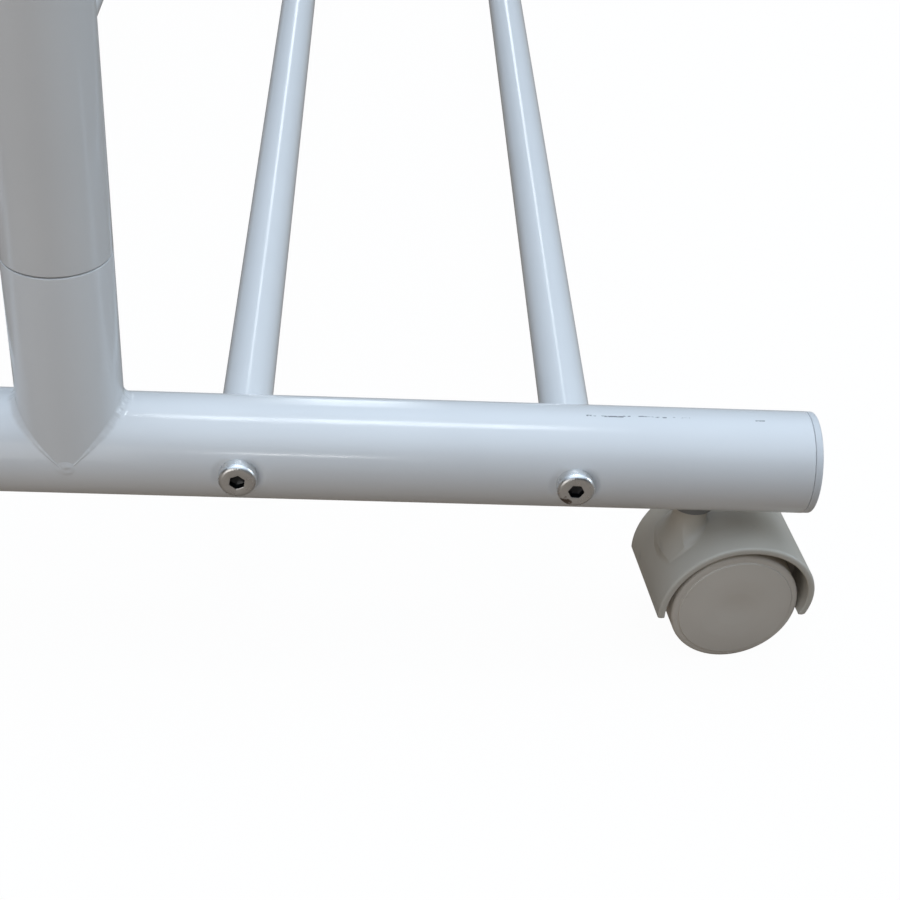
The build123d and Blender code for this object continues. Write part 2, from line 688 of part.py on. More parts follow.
# Casters: each has its own housing, axle and two wheels, turned to its own direction.
hood_centre = (caster_trail + hood_shift, wheel_r)
for (side, end), angle in trail_angles.items():
    place = f"{side}_{end}"
    stem = Vector(foot_x(side), ends[end] * caster_y, 0)
    trail_dir = Vector(cos(radians(angle)), sin(radians(angle)), 0)
    axle_dir = Vector(-sin(radians(angle)), cos(radians(angle)), 0)
    upright = Plane(origin=stem, x_dir=trail_dir, z_dir=-axle_dir)
    level = Plane(origin=stem, x_dir=trail_dir, z_dir=(0, 0, 1))
    axle_centre = stem + trail_dir * caster_trail + Vector(0, 0, wheel_r)

    with BuildPart() as caster_housing:
        with BuildSketch(upright):
            with Locations(hood_centre):
                Circle(hood_outer_r)
                Circle(hood_inner_r, mode=Mode.SUBTRACT)
                with Locations((0, -hood_outer_r - hood_skirt)):
                    Rectangle(2 * hood_outer_r, 2 * hood_outer_r, mode=Mode.SUBTRACT)
        extrude(amount=hood_width / 2, both=True)
        fillet(caster_housing.edges().filter_by(GeomType.CIRCLE), hood_edge)
        with BuildSketch(level.offset(wheel_r)):
            Circle(boss_r)
        extrude(amount=boss_top_z - wheel_r)
        with BuildSketch(upright):
            with Locations(hood_centre):
                Circle(hood_inner_r)
        extrude(amount=hood_width, both=True, mode=Mode.SUBTRACT)
        with BuildSketch(upright):
            with Locations(hood_centre):
                Circle(hood_inner_r + hood_wall / 2)
                with Locations((0, -hood_outer_r)):
                    Rectangle(2 * hood_outer_r, 2 * hood_outer_r, mode=Mode.SUBTRACT)
            with Locations((caster_trail, wheel_r)):
                Circle(hub_r)
        extrude(amount=web_width / 2, both=True)
        with BuildSketch(upright):
            with Locations((caster_trail, wheel_r)):
                Circle(axle_r + press_gap)
        extrude(amount=web_width, both=True, mode=Mode.SUBTRACT)
        with BuildSketch(level.offset(stem_end_z - seat_gap)):
            Circle(journal_r + running_gap)
        extrude(amount=boss_top_z - stem_end_z + seat_gap, mode=Mode.SUBTRACT)
        with BuildSketch(level.offset(stem_clip_z - clip_width / 2 - seat_gap)):
            Circle(clip_inner_r + clip_thickness + seat_gap)
        extrude(amount=clip_width + 2 * seat_gap, mode=Mode.SUBTRACT)
    save(caster_housing.part, f"caster_housing_{place}")

    with BuildPart() as caster_axle:
        with BuildSketch(upright):
            with Locations((caster_trail, wheel_r)):
                Circle(axle_r)
        extrude(amount=axle_half, both=True)
        for way in (-1, 1):
            with BuildSketch(upright.offset(way * groove_at)):
                with Locations((caster_trail, wheel_r)):
                    Circle(axle_r + groove_depth)
                    Circle(axle_r - groove_depth, mode=Mode.SUBTRACT)
            extrude(amount=groove_width / 2, both=True, mode=Mode.SUBTRACT)
    save(caster_axle.part, f"caster_axle_{place}")

    # Wheels: cups that open towards the web, with a stepped and domed outer face.
    for way, wheel_name in ((-1, "a"), (1, "b")):
        spin_dir = axle_dir * way
        section = Plane(origin=axle_centre, x_dir=spin_dir, z_dir=spin_dir.cross(Vector(0, 0, 1)))
        face_plane = Plane(origin=axle_centre, x_dir=trail_dir, z_dir=spin_dir)
        bore_r = axle_r + running_gap
        lip_r = axle_r - groove_depth + 2 * running_gap
        lip_half = groove_width / 2 - 2 * ring_play
        disc_inner = wheel_face - wheel_wall
        step_r = wheel_r - face_rim
        face_edge_r = step_r - face_step_run
        crown_r = face_dip_r + face_dip
        with BuildPart() as wheel:
            with BuildSketch(section):
                with BuildLine():
                    Polyline(
                        (wheel_face - face_dip, 0),
                        (wheel_face - face_dip, face_dip_r),
                        (wheel_face - face_crown, crown_r),
                    )
                    TangentArc(
                        (wheel_face - face_crown, crown_r),
                        (wheel_face - face_step, face_edge_r),
                        tangent=(0, 1),
                    )
                    Polyline(
                        (wheel_face - face_step, face_edge_r),
                        (wheel_face, step_r),
                        (wheel_face, wheel_r - wheel_edge),
                    )
                    RadiusArc(
                        (wheel_face, wheel_r - wheel_edge),
                        (wheel_face - wheel_edge, wheel_r),
                        wheel_edge,
                    )
                    Polyline(
                        (wheel_face - wheel_edge, wheel_r),
                        (wheel_inner + wheel_bevel, wheel_r),
                        (wheel_inner, wheel_r - wheel_bevel),
                        (wheel_inner, wheel_r - wheel_wall),
                        (disc_inner, wheel_r - wheel_wall),
                        (disc_inner, wheel_hub_r),
                        (wheel_inner, wheel_hub_r),
                        (wheel_inner, bore_r),
                        (groove_at - lip_half, bore_r),
                        (groove_at - lip_half, lip_r),
                        (groove_at + lip_half, lip_r),
                        (groove_at + lip_half, bore_r),
                        (axle_half + seat_gap, bore_r),
                        (axle_half + seat_gap, 0),
                        (wheel_face - face_dip, 0),
                    )
                make_face()
            revolve(axis=Axis(axle_centre, spin_dir))
            with BuildSketch(face_plane.offset(wheel_inner + rib_setback)):
                with PolarLocations((wheel_hub_r + wheel_r - wheel_wall) / 2, wheel_ribs):
                    Rectangle(wheel_r - wheel_wall - wheel_hub_r + 2 * rib_root, rib_thickness)
            extrude(amount=disc_inner - wheel_inner - rib_setback + rib_root)
        save(wheel.part, f"wheel_{place}_{wheel_name}")
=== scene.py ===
import json
from math import cos, pi, radians, sin, sqrt, tan

import bmesh
import bpy
import numpy as np
from mathutils import Matrix, Vector, noise


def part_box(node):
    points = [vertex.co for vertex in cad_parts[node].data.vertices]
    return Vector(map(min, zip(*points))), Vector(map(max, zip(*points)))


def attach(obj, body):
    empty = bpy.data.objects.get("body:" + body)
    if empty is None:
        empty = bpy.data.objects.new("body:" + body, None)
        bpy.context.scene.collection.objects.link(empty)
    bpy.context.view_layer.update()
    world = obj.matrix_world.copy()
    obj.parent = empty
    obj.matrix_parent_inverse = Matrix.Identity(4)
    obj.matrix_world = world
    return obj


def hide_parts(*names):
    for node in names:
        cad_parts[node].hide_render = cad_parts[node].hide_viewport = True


# A rolling clothes rack in white powder coat. X runs along the rack's width, Y along its feet and Z up.
# Pieces are drawn in millimetres up to make_piece(), which writes metres. Materials, lights and the
# camera are in metres.
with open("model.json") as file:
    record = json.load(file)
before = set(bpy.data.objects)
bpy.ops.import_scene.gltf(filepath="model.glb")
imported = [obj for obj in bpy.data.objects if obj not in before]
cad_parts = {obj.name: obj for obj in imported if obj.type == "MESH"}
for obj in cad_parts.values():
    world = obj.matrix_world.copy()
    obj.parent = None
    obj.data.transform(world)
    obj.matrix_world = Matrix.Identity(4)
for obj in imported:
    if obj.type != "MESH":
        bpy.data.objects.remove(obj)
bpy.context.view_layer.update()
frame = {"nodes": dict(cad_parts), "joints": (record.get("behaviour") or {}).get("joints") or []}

MM = 0.001
SIDES = {"left": -1, "right": 1}
ENDS = {"front": -1, "back": 1}


# ---------------------------------------------------------------- sizes read from the frame
def box_mm(node):
    low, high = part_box(node)
    return low / MM, high / MM


foot_low, foot_high = box_mm("foot_right")
FOOT_R = (foot_high.z - foot_low.z) / 2
FOOT_X = (foot_low.x + foot_high.x) / 2
FOOT_Z = (foot_low.z + foot_high.z) / 2
FOOT_HALF = foot_high.y
SEAM_Z = box_mm("post_stub_right")[1].z
POST_TOP = box_mm("lower_post_right")[1].z
RAIL_YS = [sum(corner.y for corner in box_mm(f"bottom_rail_{n}")) / 2 for n in (1, 2, 3, 4)]
RAIL_R = (box_mm("bottom_rail_1")[1].z - box_mm("bottom_rail_1")[0].z) / 2
PLUG_LIP = box_mm("foot_end_plugs")[1].y - FOOT_HALF
HEAD_R = (box_mm("rail_screws")[1].z - box_mm("rail_screws")[0].z) / 2
LOCK_Z = sum(corner.z for corner in box_mm("post_lock_screws")) / 2
LOCK_HEAD_R = (box_mm("post_lock_screws")[1].z - box_mm("post_lock_screws")[0].z) / 2
collar_low, collar_high = box_mm("collar_right")
inner_low, inner_high = box_mm("inner_post_right")
INNER_R = (inner_high.x - inner_low.x) / 2
hanging_low, hanging_high = box_mm("hanging_rail")
HANGING_R = (hanging_high.y - hanging_low.y) / 2
HANGING_Z = hanging_low.z + HANGING_R
HANGING_HALF = hanging_high.x
SADDLE_TOP = box_mm("rail_saddles")[1].z
SADDLE_FOOT = box_mm("rail_saddles")[0].z
TOP_Z = box_mm("top_screws")[1].z
joints = {joint["name"]: joint for joint in frame["joints"]}
CLAMP_Z = joints["clamp_knob_turn_right"]["pos_m"][2] / MM
knob_low, knob_high = box_mm("clamp_knob_right")
CLAMP_SCREW_R = (box_mm("clamp_screw_right")[1].z - box_mm("clamp_screw_right")[0].z) / 2

# Walls, roundings, gaps and screws that the boxes don't give
TUBE_WALL = 1.5
THIN_WALL = 1.2
MOUTH_ROUND = 0.45
COPE_GAP = 0.05
STUB_ROUND = 0.4
SEAM_BELOW = 0.12
SEAM_ABOVE = 0.08
HEAD_H = 4.0
HEAD_ROUND = 1.3
RAIL_HEAD_H = 4.8
RAIL_HEAD_ROUND = 1.9
RAIL_HEAD_R = HEAD_R + 0.4
SEAT_R = HEAD_R + 0.3
SEAT_RUN_OUT = 3.4
SOCKET_HALF = 2.5
SOCKET_DEPTH = 2.6
SCREW_R = 3.0
RAIL_SCREW_LENGTH = 57.0
TOP_SCREW_LENGTH = 61.0
LOCK_HEAD_H = 3.0
LOCK_SCREW_LENGTH = 6.0
LOCK_SOCKET_DEPTH = 1.8
PLUG_DEPTH = 16.5
PLUG_GAP = 0.05
PLUG_WALL = 2.0
WELD_R = 3.5
WELD_SINK = 0.015
SCUFF_WANDER = 0.0012                        # metres


# ---------------------------------------------------------------- mesh tools
def rounded(corners, steps=6):
    """A closed outline of (x, y, radius) corners, each turned into an arc of its radius."""
    outline = []
    for n, (x, y, radius) in enumerate(corners):
        here = Vector((x, y))
        if radius == 0:
            outline.append((x, y))
            continue
        back = (Vector(corners[n - 1][:2]) - here).normalized()
        ahead = (Vector(corners[(n + 1) % len(corners)][:2]) - here).normalized()
        opening = back.angle(ahead)
        centre = here + (back + ahead).normalized() * radius / sin(opening / 2)
        start = here + back * radius / tan(opening / 2) - centre
        stop = here + ahead * radius / tan(opening / 2) - centre
        sweep = pi - opening
        for k in range(steps + 1):
            share = k / steps
            point = start * sin((1 - share) * sweep) + stop * sin(share * sweep)
            outline.append(tuple(centre + point / sin(sweep)))
    return outline


def skin(rings, closed=False):
    """Faces between neighbouring rings of points. A ring of one point closes the shape there."""
    points, faces, starts = [], [], []
    for ring in rings:
        starts.append(len(points))
        points.extend(Vector(point) for point in ring)
    pairs = [(n, n + 1) for n in range(len(rings) - 1)]
    if closed:
        pairs.append((len(rings) - 1, 0))
    for a, b in pairs:
        count = max(len(rings[a]), len(rings[b]))
        for k in range(count):
            following = (k + 1) % count
            first = [starts[a]] if len(rings[a]) == 1 else [starts[a] + k, starts[a] + following]
            second = [starts[b]] if len(rings[b]) == 1 else [starts[b] + following, starts[b] + k]
            faces.append(first + second)
    return points, faces


def circle(radius, height, count):
    if radius < 1e-6:
        return [(0, 0, height)]
    angles = [2 * pi * k / count for k in range(count)]
    return [(radius * cos(angle), radius * sin(angle), height) for angle in angles]


def lathe(outline, place, count=96, closed=True):
    """Turns an outline of (radius, height) points about the z axis of place."""
    points, faces = skin([circle(r, h, count) for r, h in outline], closed)
    return [place @ point for point in points], faces


def placed(origin, z_axis, x_axis=None):
    """The matrix that puts a local z along z_axis, and a local x near x_axis, at origin."""
    z = Vector(z_axis).normalized()
    x = Vector(x_axis) if x_axis else Vector((0, 0, 1)) if abs(z.z) < 0.9 else Vector((1, 0, 0))
    y = z.cross(x).normalized()
    turn = Matrix((y.cross(z), y, z)).transposed().to_4x4()
    return Matrix.Translation(origin) @ turn


def joined(shapes):
    points, faces = [], []
    for more_points, more_faces in shapes:
        start = len(points)
        points.extend(more_points)
        faces.extend([start + k for k in face] for face in more_faces)
    return points, faces


def make_piece(name, shape, body, nodes, material, normals=None):
    """Builds one piece, rides it on its body and lets it stand for its CAD nodes."""
    points, faces = shape
    mesh = bpy.data.meshes.new(name)
    mesh.from_pydata([tuple(Vector(point) * MM) for point in points], [], faces)
    work = bmesh.new()
    work.from_mesh(mesh)
    bmesh.ops.recalc_face_normals(work, faces=work.faces)
    work.to_mesh(mesh)
    work.free()
    mesh.shade_smooth()
    if normals is None:
        mesh.set_sharp_from_angle(angle=radians(40))
    else:
        mesh.normals_split_custom_set_from_vertices(normals)
    mesh.materials.append(material)
    obj = bpy.data.objects.new(name, mesh)
    bpy.context.scene.collection.objects.link(obj)
    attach(obj, body)
    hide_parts(*nodes)
    return obj


# ---------------------------------------------------------------- shapes from distance fields
def both(a, b, radius):
    """Distance to what two solids share, with the edge between them rounded."""
    outside = np.hypot(np.maximum(a + radius, 0), np.maximum(b + radius, 0))
    return np.minimum(-radius, np.maximum(a, b)) + outside


def either(a, b, radius):
    """Distance to two solids together, with the corner between them filled by a fillet."""
    inside = np.hypot(np.maximum(radius - a, 0), np.maximum(radius - b, 0))
    return np.maximum(radius, np.minimum(a, b)) - inside


def slope(distance, points, step=0.02):
    """The unit normals of a distance field at some points."""
    parts = []
    for axis in range(3):
        shift = np.zeros(3)
        shift[axis] = step
        parts.append(distance(*(points + shift).T) - distance(*(points - shift).T))
    normals = np.stack(parts, 1)
    size = np.linalg.norm(normals, axis=1, keepdims=True)
    return normals / np.maximum(size, 1e-9), size[:, 0] / (2 * step)


def surface_of(distance, low, high, cell):
    """A closed mesh of the surface where distance(x, y, z) is zero, with its normals."""
    axes = [np.arange(a, b + cell, cell) for a, b in zip(low, high)]
    inside = distance(*np.meshgrid(*axes, indexing="ij")) < 0
    corners = sum(
        inside[i : i - 1 or None, j : j - 1 or None, k : k - 1 or None].astype(np.int8)
        for i in (0, 1) for j in (0, 1) for k in (0, 1)
    )
    active = (corners > 0) & (corners < 8)
    number = np.full(active.shape, -1)
    number[active] = np.arange(active.sum())
    points = np.array(low) + (np.argwhere(active) + 0.5) * cell
    quads = []
    for axis in range(3):
        solid = np.moveaxis(inside, axis, 0)
        cells = np.moveaxis(number, axis, 0)
        crossing = np.argwhere(solid[1:, 1:-1, 1:-1] != solid[:-1, 1:-1, 1:-1])
        i, j, k = crossing.T
        around = [cells[i, j, k], cells[i, j + 1, k], cells[i, j + 1, k + 1], cells[i, j, k + 1]]
        quads.append(np.stack(around, 1))
    quads = np.concatenate(quads)
    edges = np.concatenate([quads[:, [0, 1]], quads[:, [1, 2]], quads[:, [2, 3]], quads[:, [3, 0]]])
    edges = np.concatenate([edges, edges[:, ::-1]])
    for relaxing in (1, 1, 1, 0, 0):
        if relaxing:
            total = np.zeros_like(points)
            np.add.at(total, edges[:, 0], points[edges[:, 1]])
            points = total / np.bincount(edges[:, 0], minlength=len(points))[:, None]
        normals, rate = slope(distance, points)
        move = distance(*points.T) / np.maximum(rate, 0.5)
        points = points - normals * np.clip(move, -cell, cell)[:, None]
    normals, _ = slope(distance, points, 0.1)
    return points, quads.tolist(), normals


def make_net(name, net, place, body, nodes, material):
    points, faces, normals = net
    turn = np.array(place.to_3x3())
    moved = points @ turn.T + np.array(place.translation)
    return make_piece(name, (moved, faces), body, nodes, material, normals=normals @ turn.T)


# ---------------------------------------------------------------- materials
def add(tree, kind, **values):
    """A node with its properties and its inputs set by name (spaces as underscores)."""
    node = tree.nodes.new("ShaderNode" + kind)
    for key, value in values.items():
        name = key.replace("_", " ")
        if name in node.inputs:
            if isinstance(value, bpy.types.NodeSocket):
                tree.links.new(value, node.inputs[name])
            else:
                node.inputs[name].default_value = value
        else:
            setattr(node, key, value)
    return node


def maths(tree, operation, a, b=0.0, c=0.0):
    node = tree.nodes.new("ShaderNodeMath")
    node.operation = operation
    for socket, value in zip(node.inputs, (a, b, c)):
        if isinstance(value, bpy.types.NodeSocket):
            tree.links.new(value, socket)
        else:
            socket.default_value = value
    return node.outputs[0]


def remap(tree, value, low, high, to_low, to_high):
    node = add(tree, "MapRange", Value=value)
    node.inputs["From Min"].default_value = low
    node.inputs["From Max"].default_value = high
    node.inputs["To Min"].default_value = to_low
    node.inputs["To Max"].default_value = to_high
    return node.outputs["Result"]


def mixed(tree, factor, a, b):
    """A colour between two colours or sockets."""
    node = tree.nodes.new("ShaderNodeMix")
    node.data_type = "RGBA"
    for socket, value in zip((node.inputs[0], node.inputs[6], node.inputs[7]), (factor, a, b)):
        if isinstance(value, bpy.types.NodeSocket):
            tree.links.new(value, socket)
        else:
            socket.default_value = value
    return node.outputs[2]


def new_material(name, **values):
    material = bpy.data.materials.new(name)
    material.use_nodes = True
    shader = material.node_tree.nodes["Principled BSDF"]
    for key, value in values.items():
        shader.inputs[key.replace("_", " ")].default_value = value
    return material, material.node_tree, shader


def object_point(tree):
    return add(tree, "TexCoord").outputs["Object"]


def grain(tree, point, scale, detail=2.0):
    """Noise from 0 to 1 at a number of waves to the metre."""
    return add(tree, "TexNoise", Vector=point, Scale=scale, Detail=detail).outputs["Fac"]


def bumps(tree, shader, layers):
    """Chains (height, strength, depth in metres) layers into the shader's normal."""
    normal = None
    for height, strength, depth in layers:
        node = add(tree, "Bump", Height=height, Strength=strength, Distance=depth)
        if normal:
            tree.links.new(normal, node.inputs["Normal"])
        normal = node.outputs[0]
    tree.links.new(normal, shader.inputs["Normal"])


def specks(tree, point, scale, size, share):
    """A mask of small round dots: one to each cell of a share of the cells."""
    cells = add(tree, "TexVoronoi", Vector=point, Scale=scale)
    near = maths(tree, "LESS_THAN", cells.outputs["Distance"], size)
    chance = add(tree, "SeparateColor", Color=cells.outputs["Color"]).outputs[0]
    return maths(tree, "MULTIPLY", near, maths(tree, "LESS_THAN", chance, share))


def powder_coat(name, scuffs=()):
    """Glossy white powder coat with faint orange peel, mottling and a few specks."""
    material, tree, shader = new_material(name, IOR=1.5)
    point = object_point(tree)
    mottle = grain(tree, point, 22, 3)
    colour = mixed(tree, mottle, (0.74, 0.745, 0.75, 1), (0.79, 0.795, 0.80, 1))
    colour = mixed(tree, specks(tree, point, 38, 0.011, 0.25), colour, (0.20, 0.18, 0.16, 1))
    parts = add(tree, "SeparateXYZ", Vector=point).outputs
    broken = grain(tree, point, 420, 3)
    for start, stop, across, half_width, density in scuffs:
        wander = grain(tree, point, 110, 2)
        middle = maths(tree, "MULTIPLY_ADD", wander, SCUFF_WANDER, across - SCUFF_WANDER / 2)
        away = maths(tree, "ABSOLUTE", maths(tree, "SUBTRACT", parts[0], middle))
        near = maths(tree, "LESS_THAN", away, half_width)
        inside = maths(tree, "MULTIPLY",
                       maths(tree, "GREATER_THAN", parts[1], start),
                       maths(tree, "LESS_THAN", parts[1], stop))
        upper = maths(tree, "GREATER_THAN", parts[2], (FOOT_Z + 2) * MM)
        mask = maths(tree, "MULTIPLY", maths(tree, "MULTIPLY", near, inside), upper)
        mask = maths(tree, "MULTIPLY", mask, remap(tree, broken, density, density + 0.08, 0.0, 0.75))
        colour = mixed(tree, mask, colour, (0.09, 0.09, 0.10, 1))
    tree.links.new(colour, shader.inputs["Base Color"])
    gloss = remap(tree, grain(tree, point, 60, 3), 0.3, 0.7, 0.13, 0.20)
    tree.links.new(gloss, shader.inputs["Roughness"])
    orange_peel = grain(tree, point, 160, 1)
    fine = grain(tree, point, 900, 2)
    bumps(tree, shader, [(orange_peel, 0.12, 0.0002), (fine, 0.10, 0.00004)])
    return material


def plastic(name, colour, shade, roughness, smudge=None):
    """Satin moulded plastic with fine grain, soft blotches and a few marks."""
    material, tree, shader = new_material(name, IOR=1.48)
    point = object_point(tree)
    base = mixed(tree, grain(tree, point, 45, 4), colour, shade)
    if smudge:
        marks = maths(tree, "MULTIPLY",
                      remap(tree, grain(tree, point, 120, 3), 0.60, 0.72, 0.0, 0.55),
                      remap(tree, grain(tree, point, 38, 1), 0.52, 0.62, 0.0, 1.0))
        base = mixed(tree, marks, base, smudge)
        base = mixed(tree, specks(tree, point, 90, 0.035, 0.16), base, (0.06, 0.06, 0.055, 1))
    tree.links.new(base, shader.inputs["Base Color"])
    sheen = remap(tree, grain(tree, point, 80, 3), 0.3, 0.7, roughness - 0.05, roughness + 0.07)
    tree.links.new(sheen, shader.inputs["Roughness"])
    mould_grain = grain(tree, point, 500, 2)
    sink = grain(tree, point, 60, 2)
    bumps(tree, shader, [(mould_grain, 0.15, 0.00005), (sink, 0.10, 0.0003)])
    return material


def metal(name, colour, dark, roughness, stain=None):
    """Plated or turned metal: cloudy plating, a fine grain and an optional rusty stain."""
    material, tree, shader = new_material(name, Metallic=1.0)
    point = object_point(tree)
    base = mixed(tree, grain(tree, point, 300, 3), colour, dark)
    rough = remap(tree, grain(tree, point, 240, 3), 0.3, 0.7, roughness - 0.06, roughness + 0.10)
    if stain:
        centre, radius = stain
        away = add(tree, "VectorMath", operation="DISTANCE")
        tree.links.new(point, away.inputs[0])
        away.inputs[1].default_value = centre
        ragged = maths(tree, "MULTIPLY_ADD", grain(tree, point, 700, 3), 0.004, away.outputs["Value"])
        mark = remap(tree, ragged, radius + 0.0021, radius + 0.0012, 0.0, 0.9)
        base = mixed(tree, mark, base, (0.12, 0.075, 0.045, 1))
        rough = maths(tree, "MULTIPLY_ADD", mark, 0.35, rough)
    tree.links.new(base, shader.inputs["Base Color"])
    tree.links.new(rough, shader.inputs["Roughness"])
    bumps(tree, shader, [(grain(tree, point, 900, 2), 0.12, 0.00003)])
    return material


white_paint = powder_coat("white_powder_coat")
# Each scuff, in metres: where it starts and stops along y, its x, its half width. Then how broken it is.
scuffed_paint = powder_coat("white_powder_coat_scuffed", [
    (0.1855, 0.1990, 0.4914, 0.00040, 0.40),
    (0.1990, 0.2235, 0.4910, 0.00028, 0.46),
    (0.2475, 0.2510, 0.4914, 0.00028, 0.36),
])
foot_plug_plastic = plastic("white_plug_plastic", (0.66, 0.67, 0.68, 1), (0.72, 0.73, 0.74, 1), 0.33)
caster_plastic = plastic("caster_housing_plastic", (0.52, 0.48, 0.415, 1), (0.58, 0.54, 0.47, 1), 0.34,
                         smudge=(0.30, 0.28, 0.25, 1))
wheel_plastic = plastic("caster_wheel_plastic", (0.60, 0.545, 0.475, 1), (0.67, 0.615, 0.545, 1), 0.40,
                        smudge=(0.33, 0.31, 0.27, 1))
grey_plastic = plastic("grey_moulded_plastic", (0.24, 0.24, 0.25, 1), (0.31, 0.31, 0.32, 1), 0.42)
# Dark grey nylon. Its darkness is partly painted shade: it fills the gap between each caster and the foot,
# where shadow falls.
nylon_and_painted_shade = plastic("moulded_nylon_and_painted_shade", (0.17, 0.17, 0.17, 1), (0.24, 0.24, 0.235, 1), 0.48)
# The stain lies low on the head of the last screw of the right foot.
zinc = metal("zinc_plate", (0.87, 0.87, 0.86, 1), (0.72, 0.73, 0.74, 1), 0.28,
             stain=((0.5115, 0.1783, 0.0772), 0.0026))
# Painted shade: a dark metal for the faces inside the hex sockets. It stands in for the shade in those
# recesses.
painted_socket_shade = metal("painted_socket_shade", (0.10, 0.105, 0.11, 1), (0.03, 0.03, 0.032, 1), 0.30)
steel = metal("plain_steel", (0.52, 0.52, 0.52, 1), (0.38, 0.38, 0.39, 1), 0.30)
brass = metal("turned_brass", (0.76, 0.58, 0.28, 1), (0.62, 0.45, 0.20, 1), 0.28)


# ---------------------------------------------------------------- tubes of the base
def spread(low, high, places, reach, fine, coarse):
    """Stations from low to high, close together within reach of each place and wide apart elsewhere."""
    values = {low, high}
    for place in places:
        values.update(np.arange(place - reach, place + reach + fine / 2, fine).round(3))
    values.update(np.linspace(low, high, int((high - low) / coarse)).round(3))
    kept = []
    for value in sorted(v for v in values if low <= v <= high):
        if not kept or value - kept[-1] > fine / 3:
            kept.append(value)
    kept[-1] = high
    return kept


def dimpled_tube(place, radius, wall, half, screws, count=192):
    """A tube along the local y axis, with a pressed seat towards local x at each screw."""
    seat = sqrt(radius**2 - SEAT_R**2)
    angles = [2 * pi * k / count for k in range(count)]
    turns = np.linspace(pi / 2, 0, 6)
    mouth = [(half - MOUTH_ROUND * (1 - cos(t)), MOUTH_ROUND * (1 - sin(t))) for t in turns]
    edge = half - 2 * MOUTH_ROUND
    straight = spread(-edge, edge, screws, reach=12.0, fine=0.6, coarse=18.0)
    rows = [(-y, cut) for y, cut in reversed(mouth)]
    rows += [(y, 0) for y in straight]
    rows += mouth
    rings = []
    for y, cut in rows:
        ring = []
        for angle in angles:
            x = (radius - cut) * cos(angle)
            z = (radius - cut) * sin(angle)
            for screw in screws:
                away = sqrt((y - screw) ** 2 + z**2)
                if x > 0 and away < SEAT_R + SEAT_RUN_OUT:
                    share = min(max((away - SEAT_R) / SEAT_RUN_OUT, 0), 1)
                    share = share * share * (3 - 2 * share)
                    x = min(x, seat + (x - seat) * share)
            ring.append((x, y, z))
        rings.append(ring)
    bore = radius - wall
    for y in (half, half - 2 * wall, -half + 2 * wall, -half):
        rings.append([(bore * cos(a), y, bore * sin(a)) for a in angles])
    points, faces = skin(rings, closed=True)
    return [place @ point for point in points], faces


def tube_plug(place, radius, wall):
    """An end plug: a domed lip flush with the tube and a hollow body inside it."""
    body = radius - wall - PLUG_GAP
    bore = body - PLUG_WALL
    outline = rounded([
        (0, PLUG_LIP, 0), (radius * 0.55, PLUG_LIP - 0.12, 3.0), (radius - 0.1, PLUG_LIP - 0.55, 0.9),
        (radius - 0.05, 0.12, 0.25), (body, 0.12, 0), (body, -PLUG_DEPTH, 0.5), (bore, -PLUG_DEPTH, 0.5),
        (bore, -PLUG_WALL, 0.8), (0, -PLUG_WALL, 0),
    ])
    return lathe(outline, place, 128, closed=False)


def coped(radius, across):
    """How far off the foot's axis a tube that stands on the foot ends, at this share of its radius."""
    return sqrt((FOOT_R + COPE_GAP) ** 2 - (radius * across) ** 2)


def post_stub(side):
    """The welded stub: coped over the foot, with a rounded mouth at the seam."""
    x0 = SIDES[side] * FOOT_X
    count = 192
    angles = [2 * pi * k / count for k in range(count)]
    bore = FOOT_R - TUBE_WALL
    rings = [[(x0 + FOOT_R * cos(a), FOOT_R * sin(a), FOOT_Z + coped(FOOT_R, cos(a))) for a in angles]]
    top = SEAM_Z - SEAM_BELOW
    for t in np.linspace(0, pi / 2, 7):
        r = FOOT_R - STUB_ROUND * (1 - cos(t))
        drop = STUB_ROUND * (1 - sin(t))
        rings.append([(x0 + r * cos(a), r * sin(a), top - drop - dip(a)) for a in angles])
    rings.append([(x0 + bore * cos(a), bore * sin(a), top - dip(a)) for a in angles])
    rings.append([(x0 + bore * cos(a), bore * sin(a), FOOT_Z + coped(bore, cos(a))) for a in angles])
    return skin(rings, closed=True)


def dip(angle):
    """The seam between stub and post is a little wider on one side than on the other."""
    return 0.20 + 0.20 * cos(angle + 0.3)


def lower_post(side):
    """The outer tube of the telescope, which stands on the stub."""
    place = Matrix.Translation((SIDES[side] * FOOT_X, 0, 0))
    bore = FOOT_R - TUBE_WALL
    low = SEAM_Z + SEAM_ABOVE
    outline = rounded([
        (FOOT_R, low, 0.35), (FOOT_R, POST_TOP, 0.4), (bore, POST_TOP, 0.3), (bore, low, 0.2),
    ])
    return lathe(outline, place, 192)


def weld_bead(x0, way, seed):
    """One lobe of the weld: a ball's path between foot and stub, uneven like hand welding."""
    steps = 240                              # along the bead
    arc = 12                                 # across it
    rings = []
    for k in range(steps + 1):
        turn = radians(2.0) + (pi - radians(4.0)) * k / steps
        outward = cos(turn)
        rise = sin(turn)
        ripple = noise.noise(Vector((k * 0.16, seed, 0.3))) * 0.5
        ripple += noise.noise(Vector((k * 0.5, seed, 7.1))) * 0.25
        radius = WELD_R + 0.7 * ripple
        centre = Vector((outward, way * rise, rise)) * (FOOT_R + radius)
        to_stub = Vector((outward, way * rise, 0))
        to_foot = Vector((outward, 0, rise))
        opening = to_stub.angle(to_foot)
        ring = []
        for n in range(arc + 1):
            share = n / arc
            normal = to_stub * sin((1 - share) * opening) + to_foot * sin(share * opening)
            normal /= sin(opening)
            crown = (0.18 + 0.22 * ripple) * sin(pi * share) ** 2
            ring.append(centre - normal * (radius - WELD_SINK - crown))
        corner = Vector((FOOT_R * outward, way * FOOT_R * rise, FOOT_R * rise))
        ring.append(corner - (to_stub + to_foot) * 0.35)
        rings.append([point + Vector((x0, 0, FOOT_Z)) for point in ring])
    ends = [[sum(rings[n], Vector()) / len(rings[n])] for n in (0, -1)]
    return skin([ends[0], *rings, ends[1]])


